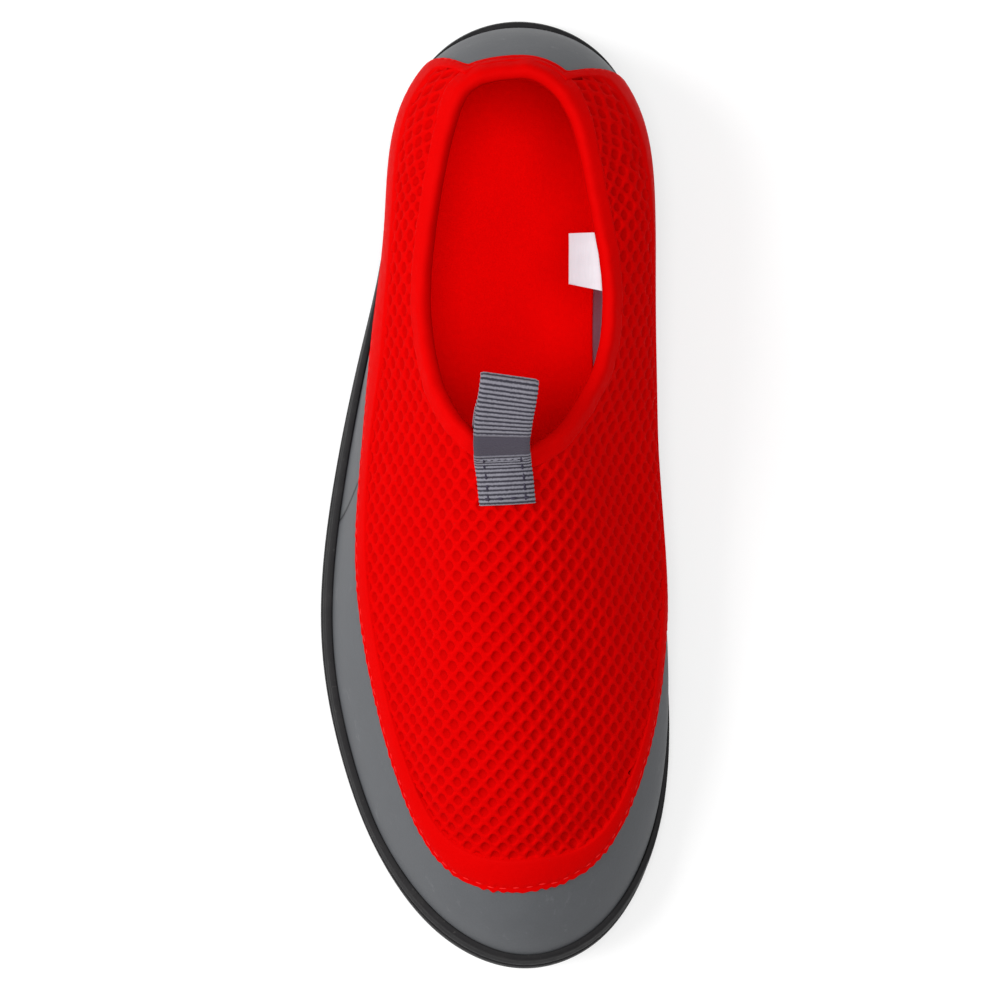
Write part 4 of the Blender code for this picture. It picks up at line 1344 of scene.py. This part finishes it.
def build_mesh(sizes, colours):
    """The air mesh: staggered rows of pits between soft strands, one sheet laid over the foot."""
    sheet = cloth()

    def on_cloth(u, v, height):
        """Points on the sheet, tucked in where it runs under the collar."""
        under = -sheet.sample(sheet.limits, u, v)[..., 1]
        return sheet.lift(u, v, height - MESH_TUCK * smooth_step(*TUCK_UNDER, under))

    across, along = sizes.hole_pitch, sizes.row_pitch
    rows = np.arange(math.ceil(sheet.v[0] / along), math.floor(sheet.v[-1] / along))
    columns = np.arange(-PIT_COLUMNS, PIT_COLUMNS + 1)
    row, column = np.meshgrid(rows, columns, indexing="ij")
    u = (column + 0.5 * (row % 2)) * across
    v = row * along
    limits = sheet.sample(sheet.limits, u, v)
    keep = limits[..., 0] > sizes.band_width - MESH_UNDER_BAND
    keep &= limits[..., 1] > -MESH_UNDER_COLLAR
    u, v = u[keep], v[keep]
    short = (along**2 - across**2 / 4) / (2 * along)
    corners = np.array([
        (0.5 * across, -short), (0.5 * across, short), (0, along - short),
        (-0.5 * across, short), (-0.5 * across, -short), (0, short - along),
    ])
    edge = np.empty((PIT_CORNERS, 2))
    edge[0::2] = corners
    edge[1::2] = (corners + np.roll(corners, -1, 0)) / 2
    angle = np.arctan2(edge[:, 1] / along, edge[:, 0] / across * 1.15)
    ring = np.column_stack((np.cos(angle) * sizes.hole_width / 2, np.sin(angle) * sizes.hole_length / 2))
    random = np.random.default_rng(PIT_SEED)
    count = len(u)
    sway = random.normal(0, PIT_SWAY, (count, 1, 2))
    grow = random.uniform(*PIT_GROWTH, (count, 1, 1))
    middle = np.stack((u, v), -1)[:, None, :]
    outer = middle + edge
    inner = [middle + sway + ring * grow * size for size in PIT_SIZES]
    keys = np.stack((np.rint(outer[..., 0] / (across / 4)), np.rint(outer[..., 1] / (along / 8))), -1)
    _, first, back = np.unique(keys.reshape(-1, 2), axis=0, return_index=True, return_inverse=True)
    back = back.reshape(count, PIT_CORNERS)
    shared = outer.reshape(-1, 2)[first]
    lift = PIT_HEIGHTS[0] + random.normal(0, STRAND_UNEVEN, len(shared))
    points = [on_cloth(shared[:, 0], shared[:, 1], lift)]
    marks = [np.zeros(len(shared))]
    index = [back]
    total = len(shared)
    # Each ring carries its share of the pits' painted shade in the pit mark
    for ring_points, height, pit in zip(inner[:3], PIT_HEIGHTS[1:4], PIT_SHADE_AMOUNTS[1:4]):
        flat = ring_points.reshape(-1, 2)
        points.append(on_cloth(flat[:, 0], flat[:, 1], np.full(len(flat), height)))
        marks.append(np.full(len(flat), pit))
        index.append(np.arange(len(flat)).reshape(count, PIT_CORNERS) + total)
        total += len(flat)
    flat = inner[3][:, 0]
    points.append(on_cloth(flat[:, 0], flat[:, 1], np.full(count, PIT_HEIGHTS[4])))
    marks.append(np.full(count, PIT_SHADE_AMOUNTS[4]))
    centre = np.arange(count) + total
    faces = []
    for near, far in zip(index, index[1:]):
        quads = np.stack((near, np.roll(near, -1, 1), np.roll(far, -1, 1), far), -1)
        faces += quads.reshape(-1, 4).tolist()
    last = index[-1]
    fans = np.stack((last, np.roll(last, -1, 1), np.repeat(centre[:, None], PIT_CORNERS, 1)), -1)
    faces += fans.reshape(-1, 3).tolist()
    new_piece(
        "air_mesh", np.concatenate(points), faces, red_mesh(colours.red), "mesh",
        marks={"pit": np.concatenate(marks)}, closed=False,
    )


def build_border(sizes, colours):
    """The smooth band that edges the mesh and laps over the grey, and its stitches."""
    last = form(BAND_RIBS)
    border = last.border
    girth = running_length(last.at(border))[:-1]
    random = np.random.default_rng(BAND_SEED)
    scallop = np.zeros(last.count)
    turn = girth / girth[-1] * 2 * math.pi
    for waves, size in BAND_WAVES:
        scallop += size * np.sin(waves * turn + random.uniform(0, 6.28))
    rear = 1 - smooth_step(0.0, 0.012, last.collar_low - border)
    edge = -BAND_LAP + scallop * (1 - rear)
    sections = []

    def across(share):
        """How far above the grey's edge, and up the ribs, a share of the band's width lies."""
        offset = edge * (1 - share) + sizes.band_width * last.band * share
        return offset, np.minimum(border + offset, last.collar_low + BAND_UNDER_COLLAR * share)

    shares = np.concatenate((np.linspace(0, 0.12, 5), np.linspace(0.16, 0.88, 15), np.linspace(0.92, 1, 5)))
    for share in shares:
        offset, distance = across(share)
        from_edge = offset - edge
        puff = BAND_PROUD + BAND_PUFF * math.sin(math.pi * share) ** 0.6
        from_stitch = (from_edge - BAND_STITCH_FROM_EDGE) / BAND_STITCH_DIP_WIDTH
        puff = puff - BAND_STITCH_DIP * np.exp(-(from_stitch**2))
        roll_in = smooth_step(0.90, 1.0, share) * BAND_CORE
        low = smooth_step(0.0, 0.0006, from_edge)
        depth = BAND_EDGE_DEPTH * (1 - low) - puff * low + roll_in
        depth = depth + rear * BAND_REAR_DEPTH
        sections.append(last.at(distance, depth))
    for share in (1.0, 0.7, 0.35, 0.12, 0.0):
        depth = BAND_BACK_DEPTH + BAND_CORE * smooth_step(0.1, 0.3, share)
        sections.append(last.at(across(share)[1], depth))
    band = red_cloth("red_smooth_band", colours.red, 0.0004, 0.05, 0.55)
    round_piece("border_band", sections, band, "mesh")
    row = np.minimum(border + edge + BAND_STITCH_FROM_EDGE, last.collar_low)
    run = last.at(row, -BAND_THREAD_LIFT + BAND_THREAD_SINK * rear)
    stitches(
        "border_stitches", [np.concatenate((run, run[:1]))], thread(*BAND_THREAD), "mesh",
        Pitch=sizes.stitch_pitch, Length=0.0022, Thickness=0.00042, Seed=3,
    )


def panel_rows(last):
    """Distances and depths of a grey panel's outer face, from the sole to its rounded top edge."""
    top = last.border - PANEL_EDGE_DROP
    rows = [(top * share, MESH_PROUD) for share in np.linspace(0, 0.985, PANEL_ROWS)]
    rows.append((top - PANEL_EDGE_DROP, MESH_PROUD + PANEL_EDGE_DEPTHS[0]))
    rows.append((top, MESH_PROUD + PANEL_EDGE_DEPTHS[1]))
    return rows


def build_panels(colours):
    """The grey panels round the toe and the heel, meeting at a seam on each side."""
    last = form()
    half = last.count // 2
    seam = int(np.argmin(np.abs(last.rows["along"][:half] - SIDE_SEAM_ALONG)))
    other = last.count - seam
    front = np.arange(seam, other + 1)
    rear = np.concatenate((np.arange(other, last.count), np.arange(0, seam + 1)))
    grey = grey_panel(colours.grey)
    rows = panel_rows(last)
    outer = np.array([last.at(distance, depth) for distance, depth in rows])
    inner = np.array([last.at(distance, MESH_PROUD + OVERLAY) for distance, _ in rows])
    for name, keep in (("toe_rand", front), ("heel_counter", rear)):
        outside, inside = outer[:, keep].copy(), inner[:, keep].copy()
        for grid in (outside, inside):
            for end, near in ((0, 1), (-1, -2)):
                step = grid[:, near] - grid[:, end]
                step /= np.linalg.norm(step, axis=1)[:, None]
                grid[:, end] += step * SEAM_HALF_WIDTH
        edge = np.zeros(outside.shape[:2])
        edge[:, 0] = edge[:, -1] = 1
        strip_piece(
            name + "_skin", outside, inside, grey, "panel", (name,),
            marks={"edge": np.concatenate((edge, edge[::-1]))}, sharp=50,
        )


def build_collar(colours):
    """The padded band round the opening."""
    last = form()
    section = section_curve(COLLAR_SECTION, 44)
    girth = running_length(last.at(last.total))[:-1]
    turn = girth / girth[-1] * 2 * math.pi
    wobble = sum(height * np.sin(waves * turn + start) for waves, start, height in COLLAR_WAVES)
    rings = []
    for up, deep in section:
        soft = wobble * (1 if deep < 0.5 else 0.4)
        rings.append(last.on_collar(up, COLLAR_THICKNESS * deep + soft))
    knit = red_cloth("red_collar_knit", colours.red, 0.0004, 0.05, 0.55)
    round_piece("collar_band", rings, knit, "collar", ("collar",))


def insole_ring(last, lift):
    """The footbed's edge at a height over the bed, pinched at the inner waist."""
    rise = (INSOLE_PINCH_FROM, INSOLE_PINCH_FROM + INSOLE_PINCH_EASE)
    fall = (INSOLE_PINCH_TO - INSOLE_PINCH_EASE, INSOLE_PINCH_TO)
    waist = soft_window(rise, fall, last.rows["along"])
    depth = WALL + INSOLE_CLEARANCE + INSOLE_PINCH * waist * (last.outline[:, 0] > 0)
    bed = bed_height(last.outline[:, 1])
    ring = last.at(last.distance_at_height(bed + lift, depth), depth)
    ring[:, 2] = bed_height(ring[:, 1]) + lift
    return ring


def build_footbed(colours):
    """The cloth-faced insole and the board that shows beside its waist."""
    last = form()
    low = insole_ring(last, GAP * 2)
    low[:, 2] = bed_height(low[:, 1]) + GAP
    high = insole_ring(last, GAP + INSOLE_THICKNESS)

    way = outward(high[:, :2])
    rings = [low, (low + high) / 2]
    for turn in np.radians((10, 35, 60, 85)):
        ring = high.copy()
        ring[:, :2] -= way * INSOLE_ROUND * (1 - math.cos(turn))
        ring[:, 2] -= INSOLE_ROUND * (1 - math.sin(turn))
        rings.append(ring)

    def crown(edge, grid):
        """The shallow hollow that the heel rests in."""
        heel = 1 - smooth_step(*HOLLOW_ENDS, along_of(grid[..., 1]))
        return -HEEL_HOLLOW * heel * (1 - edge**3)

    points, faces = capped(rings, ((-1, FOOTBED_COLUMNS, crown), (0, BOARD_COLUMNS, None)))
    # Painted light: the footbed's red is lighter than the mesh's to make up for the dimmer light inside the
    # shoe
    red = times(colours.red, FOOTBED_PAINTED_LIGHT)
    new_piece(
        "insole_pad", points, faces, red_cloth("red_footbed_cloth", red, 0.0007, 0.10, 0.8),
        "footbed", ("insole",), weld=True,
    )
    bed = bed_height(last.outline[:, 1])
    depth = np.full(last.count, WALL + BOARD_CLEARANCE)
    ring = last.at(last.distance_at_height(bed + GAP, depth), depth)
    plates = []
    for lift in BOARD_HEIGHTS:
        level = ring.copy()
        level[:, 2] = bed_height(level[:, 1]) + lift
        plates.append(level)
    points, faces = capped(plates, ((0, BOARD_COLUMNS, None), (1, BOARD_COLUMNS, None)))
    new_piece("lasting_board", points, faces, board_felt(), "footbed", weld=True)


class Webbing:
    """The pull loop's path and the places on its faces."""

    def __init__(self):
        last = form()
        throat = last.at(last.total)[:, 1].min()
        ring_faces = grid_faces(LEVELS, last.count, wrap_columns=True)
        section = section_curve(COLLAR_SECTION, 24)
        collar = np.array([last.on_collar(up, COLLAR_THICKNESS * deep) for up, deep in section])
        collar_faces = grid_faces(24, last.count, True, True, start=LEVELS * last.count)
        trees = {}
        for face, sunk in ((1, -LOOP_SKIN), (-1, WALL)):
            skin = last.points - last.normals * sunk
            skin[last.points[..., 2] < 0.03] *= (1, 1, 0.3)
            points = np.concatenate((skin.reshape(-1, 3), collar.reshape(-1, 3)))
            trees[face] = BVHTree.FromPolygons(points.tolist(), ring_faces + collar_faces)
        rows = []
        for behind, aside, above, face in LOOP_PATH:
            row = []
            turned = smooth_step(*LOOP_SKEW_TURNS, behind)
            skew = LOOP_SKEW_PATCH + (LOOP_SKEW_END - LOOP_SKEW_PATCH) * turned
            for across in np.linspace(-0.5, 0.5, 7):
                x = aside + across * LOOP_WIDTH
                y = throat + behind - across * LOOP_WIDTH * float(skew)
                if face:
                    start = Vector((x, y, RAY_START if face > 0 else RAY_START_INSIDE))
                    hit = trees[face].ray_cast(start, Vector((0, 0, -face)))[0]
                    z = hit.z + face * (LOOP_THICKNESS / 2 + LOOP_CLEARANCE)
                else:
                    z = INSTEP_HEIGHT + above
                row.append((x, y, z))
            rows.append(row)
        self.rows, self.length = smooth_path(rows, LOOP_STEPS)
        self.middle = self.rows.mean(1)
        run = np.gradient(self.middle, axis=0)
        normal = np.column_stack((np.zeros(len(run)), -run[:, 2], run[:, 1]))
        self.normal = normal / np.linalg.norm(normal, axis=1)[:, None]
        if self.normal[0, 2] < 0:
            self.normal = -self.normal

    def at(self, length, across, lift):
        """A point on the outer face: across from -1 to 1, raised by lift."""
        t = (across + 1) / 2 * (self.rows.shape[1] - 1)
        i = min(int(t), self.rows.shape[1] - 2)
        found = []
        for axis in range(3):
            line = self.rows[:, i, axis] * (1 - t + i) + self.rows[:, i + 1, axis] * (t - i)
            line = line + self.normal[:, axis] * lift
            found.append(np.interp(length, self.length, line))
        return np.array(found)


def build_loop(sizes, colours):
    """The webbing loop, its ribs, and the box of stitches that holds it."""
    web = Webbing()
    columns = 15
    shares = np.sin(np.linspace(-0.5, 0.5, columns) * math.pi) * 0.5 + 0.5
    t = shares * (web.rows.shape[1] - 1)
    i = np.minimum(t.astype(int), web.rows.shape[1] - 2)
    t = (t - i)[None, :, None]
    grid = web.rows[:, i] * (1 - t) + web.rows[:, i + 1] * t
    phase = 2 * math.pi * web.length / sizes.rib_pitch
    rib = 0.5 + 0.5 * np.cos(phase)
    # The plain mark flattens the ribs and paints the smooth stretch darker as painted shade
    plain = soft_window(PLAIN_SHADE_RISE, PLAIN_SHADE_FALL, web.length)
    rib_soft = rib * (1 - 0.8 * plain)
    side = np.abs(shares * 2 - 1)
    selvedge = 1 - 0.55 * smooth_step(0.88, 1.0, side)
    grid[..., 0] += (shares - 0.5)[None, :] * RIB_SWAY * (rib_soft - 0.5)[:, None]
    thick = (LOOP_THICKNESS / 2 - RIB_VALLEY + RIB_RELIEF * rib_soft)[:, None] * selvedge
    left = web.length[-1] - web.length
    ends = smooth_step(0.0, LOOP_END_ROUND, web.length) * smooth_step(0.0, LOOP_END_ROUND, left)
    thick = thick * (0.45 + 0.55 * ends)[:, None]
    push = web.normal[:, None, :] * thick[..., None]
    rib_marks = np.broadcast_to(rib[:, None], grid.shape[:2])
    plain_shade_marks = np.broadcast_to(plain[:, None], grid.shape[:2])
    finish = ribbed_webbing(colours.webbing)
    strip_piece(
        "pull_loop_webbing", grid + push, grid - push, finish, "webbing", ("pull_loop",),
        marks={
            "rib": np.concatenate((rib_marks, rib_marks[::-1])),
            "plain": np.concatenate((plain_shade_marks, plain_shade_marks[::-1])),
        },
    )
    lift = LOOP_THICKNESS / 2 + LOOP_THREAD_LIFT
    for place, yarn, spans, count, sewn in LOOP_STITCHES:
        runs = []
        for lengths, sides in spans:
            steps = zip(np.linspace(*lengths, count), np.linspace(*sides, count))
            runs.append([web.at(length, across, lift) for length, across in steps])
        stitches(f"loop_{place}_stitches", runs, loop_thread(*yarn), "webbing", **sewn)


def build_label(colours):
    """The blank size label, sewn in at the collar and curling off it."""
    low, high = (np.array(corner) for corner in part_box("size_label"))
    rows, columns = LABEL_GRID
    along = np.linspace(0, 1, rows)[:, None]
    away = np.linspace(0, 1, columns)[None, :]
    near = low[1] + LABEL_CORNER_RISE * away
    y = near + (high[1] - near) * along
    x = high[0] - (high[0] - low[0]) * away
    drop = (high[2] - low[2]) * away**1.5
    curl = LABEL_CURL * np.sin(math.pi * along) * away
    curl = curl + LABEL_RIPPLE * np.sin(3.0 * math.pi * along + 0.6) * away**2
    z = high[2] - LABEL_TUCK - drop + curl
    grid = np.stack((x + 0 * y, y, z), -1) - shift()
    thick = np.array(LABEL_HALF_THICKNESS)
    satin = label_cloth(colours.label)
    strip_piece("size_label_cloth", grid + thick, grid - thick, satin, "label", ("size_label",), sharp=60)


def build_stage():
    """The pale floor, soft studio light from the upper left and a camera over the shoe."""
    scene = bpy.context.scene
    floor = Finish("pale_floor", 0.8, Specular_IOR_Level=0.0)
    floor.feed("Base Color", floor.shade(FLOOR_COLOUR, floor.noise(0.4, 2) * 0.01 + 0.995))
    floor.shader.inputs["Emission Color"].default_value = (1, 1, 1, 1)
    floor.shader.inputs["Emission Strength"].default_value = FLOOR_GLOW
    mesh = bmesh.new()
    bmesh.ops.create_grid(mesh, x_segments=8, y_segments=8, size=FLOOR_SIZE)
    data = bpy.data.meshes.new("studio_floor")
    mesh.to_mesh(data)
    mesh.free()
    data.materials.append(floor.material)
    made = bpy.data.objects.new("studio_floor", data)
    scene.collection.objects.link(made)

    for name, place, size, power in LIGHTS:
        light = bpy.data.lights.new(name, "AREA")
        light.shape = "DISK"
        light.size = size
        light.energy = power
        lamp = bpy.data.objects.new(name, light)
        lamp.location = place
        lamp.rotation_euler = (Vector(LIGHT_AIM) - Vector(place)).to_track_quat("-Z", "Y").to_euler()
        scene.collection.objects.link(lamp)

    world = scene.world or bpy.data.worlds.new("studio_air")
    scene.world = world
    world.use_nodes = True
    sky = next(n for n in world.node_tree.nodes if n.type == "BACKGROUND")
    sky.inputs["Color"].default_value = (1, 1, 1, 1)
    sky.inputs["Strength"].default_value = WORLD_STRENGTH

    behind, left = math.radians(CAMERA_BEHIND), math.radians(CAMERA_ASIDE)
    back = Vector((-math.sin(left), math.sin(behind), 0))
    back.z = math.sqrt(1 - back.x**2 - back.y**2)
    right = Vector((0, 1, 0)).cross(back).normalized()
    up = back.cross(right)
    lens = bpy.data.cameras.new("studio_camera")
    lens.sensor_width = CAMERA_SENSOR
    lens.lens = CAMERA_SENSOR * CAMERA_LENS
    lens.clip_start = 0.01
    camera = bpy.data.objects.new("studio_camera", lens)
    turn = Matrix((right, up, back)).transposed().to_4x4()
    turn.translation = Vector(CAMERA_AIM) + back * CAMERA_DISTANCE
    camera.matrix_world = turn
    scene.collection.objects.link(camera)
    scene.camera = camera
    scene.view_settings.view_transform = "Standard"


# What the sizes and the colours each have in common
LENGTH = {"unit": "LENGTH", "precision": 4}
COLOUR = {"subtype": "COLOR", "size": 3, "min": 0, "max": 1}


class WATERSHOE_PG_sizes(bpy.types.PropertyGroup):
    """Sizes of the repeated details."""

    hole_pitch: bpy.props.FloatProperty(
        name="Hole pitch", description="Across the foot, from one pit to the next", default=0.0055,
        **LENGTH,
    )
    row_pitch: bpy.props.FloatProperty(
        name="Row pitch", description="Along the foot, from one row of pits to the next", default=0.0031,
        **LENGTH,
    )
    hole_width: bpy.props.FloatProperty(
        name="Hole width", description="Width of a pit across the foot", default=0.0029,
        **LENGTH,
    )
    hole_length: bpy.props.FloatProperty(
        name="Hole length", description="Length of a pit along the foot", default=0.0035,
        **LENGTH,
    )
    band_width: bpy.props.FloatProperty(
        name="Band width", description="Width of the smooth band that edges the mesh", default=0.0110,
        **LENGTH,
    )
    stitch_pitch: bpy.props.FloatProperty(
        name="Stitch pitch", description="From one stitch of the band to the next", default=0.0042,
        **LENGTH,
    )
    rib_pitch: bpy.props.FloatProperty(
        name="Rib pitch", description="From one rib of the webbing to the next", default=0.0013,
        **LENGTH,
    )


class WATERSHOE_PG_colours(bpy.types.PropertyGroup):
    """Colours of the cloths, the panels and the rubber."""

    red: bpy.props.FloatVectorProperty(
        name="Red", description="Mesh, bands and footbed", **COLOUR,
        default=(0.585, 0.0004, 0.0004),
    )
    grey: bpy.props.FloatVectorProperty(
        name="Grey", description="Coated panels round the toe and the heel", **COLOUR,
        default=(0.094, 0.098, 0.105),
    )
    rubber: bpy.props.FloatVectorProperty(
        name="Rubber", description="Outsole", **COLOUR,
        default=(0.0045, 0.0045, 0.0055),
    )
    webbing: bpy.props.FloatVectorProperty(
        name="Webbing", description="Ribs of the pull loop", **COLOUR,
        default=(0.195, 0.188, 0.222),
    )
    label: bpy.props.FloatVectorProperty(
        name="Label", description="Blank size label", **COLOUR,
        default=(0.60, 0.56, 0.60),
    )


class PieceOperator:
    """What the operators share: they read the scene's sizes and colours, and add pieces."""

    bl_options = {"REGISTER", "UNDO"}

    def execute(self, context):
        colours = context.scene.water_shoe_colours
        palette = {name: tuple(getattr(colours, name)) for name in colours.__annotations__}
        before = len(bpy.data.objects)
        self.build(context.scene.water_shoe_sizes, type("Palette", (), palette))
        if len(bpy.data.objects) == before:
            raise RuntimeError(f"{self.bl_label} added nothing")
        return {"FINISHED"}


class WATERSHOE_OT_sole(PieceOperator, bpy.types.Operator):
    """Build the rubber outsole and its tread"""

    bl_idname = "water_shoe.sole"
    bl_label = "Outsole"

    def build(self, sizes, colours):
        build_sole(colours)


class WATERSHOE_OT_lining(PieceOperator, bpy.types.Operator):
    """Build the upper's inner wall"""

    bl_idname = "water_shoe.lining"
    bl_label = "Lining"

    def build(self, sizes, colours):
        build_lining(colours)


class WATERSHOE_OT_mesh(PieceOperator, bpy.types.Operator):
    """Build the air mesh over the foot"""

    bl_idname = "water_shoe.mesh"
    bl_label = "Air mesh"

    def build(self, sizes, colours):
        build_mesh(sizes, colours)


class WATERSHOE_OT_border(PieceOperator, bpy.types.Operator):
    """Build the smooth band round the mesh and its stitches"""

    bl_idname = "water_shoe.border"
    bl_label = "Border band"

    def build(self, sizes, colours):
        build_border(sizes, colours)


class WATERSHOE_OT_panels(PieceOperator, bpy.types.Operator):
    """Build the grey toe rand and heel counter"""

    bl_idname = "water_shoe.panels"
    bl_label = "Grey panels"

    def build(self, sizes, colours):
        build_panels(colours)


class WATERSHOE_OT_collar(PieceOperator, bpy.types.Operator):
    """Build the padded collar"""

    bl_idname = "water_shoe.collar"
    bl_label = "Collar"

    def build(self, sizes, colours):
        build_collar(colours)


class WATERSHOE_OT_footbed(PieceOperator, bpy.types.Operator):
    """Build the insole and the board under it"""

    bl_idname = "water_shoe.footbed"
    bl_label = "Footbed"

    def build(self, sizes, colours):
        build_footbed(colours)


class WATERSHOE_OT_loop(PieceOperator, bpy.types.Operator):
    """Build the webbing pull loop with its stitches"""

    bl_idname = "water_shoe.loop"
    bl_label = "Pull loop"

    def build(self, sizes, colours):
        build_loop(sizes, colours)


class WATERSHOE_OT_label(PieceOperator, bpy.types.Operator):
    """Build the blank label inside the collar"""

    bl_idname = "water_shoe.label"
    bl_label = "Size label"

    def build(self, sizes, colours):
        build_label(colours)


class WATERSHOE_OT_stage(PieceOperator, bpy.types.Operator):
    """Build the floor, the lights and the camera"""

    bl_idname = "water_shoe.stage"
    bl_label = "Studio"

    def build(self, sizes, colours):
        build_stage()


OPERATORS = (
    WATERSHOE_OT_stage,
    WATERSHOE_OT_sole,
    WATERSHOE_OT_lining,
    WATERSHOE_OT_mesh,
    WATERSHOE_OT_border,
    WATERSHOE_OT_panels,
    WATERSHOE_OT_collar,
    WATERSHOE_OT_footbed,
    WATERSHOE_OT_loop,
    WATERSHOE_OT_label,
)


class WATERSHOE_PT_pieces(bpy.types.Panel):
    """The shoe's sizes, colours and pieces"""

    bl_idname = "WATERSHOE_PT_pieces"
    bl_label = "Water shoe"
    bl_space_type = "VIEW_3D"
    bl_region_type = "UI"
    bl_category = "Water shoe"

    def draw(self, context):
        for group in (context.scene.water_shoe_sizes, context.scene.water_shoe_colours):
            box = self.layout.box()
            for name in group.__annotations__:
                box.prop(group, name)
        for operator in OPERATORS:
            self.layout.operator(operator.bl_idname)


CLASSES = (WATERSHOE_PG_sizes, WATERSHOE_PG_colours, *OPERATORS, WATERSHOE_PT_pieces)


def register():
    """Register the classes and give the scene its sizes and colours."""
    for part in CLASSES:
        bpy.utils.register_class(part)
    bpy.types.Scene.water_shoe_sizes = bpy.props.PointerProperty(type=WATERSHOE_PG_sizes)
    bpy.types.Scene.water_shoe_colours = bpy.props.PointerProperty(type=WATERSHOE_PG_colours)


def unregister():
    """Undo what register did."""
    del bpy.types.Scene.water_shoe_sizes
    del bpy.types.Scene.water_shoe_colours
    for part in reversed(CLASSES):
        bpy.utils.unregister_class(part)


def main():
    """Build every piece in order."""
    register()
    for operator in OPERATORS:
        group, name = operator.bl_idname.split(".")
        getattr(getattr(bpy.ops, group), name)()


if __name__ == "__main__":
    main()
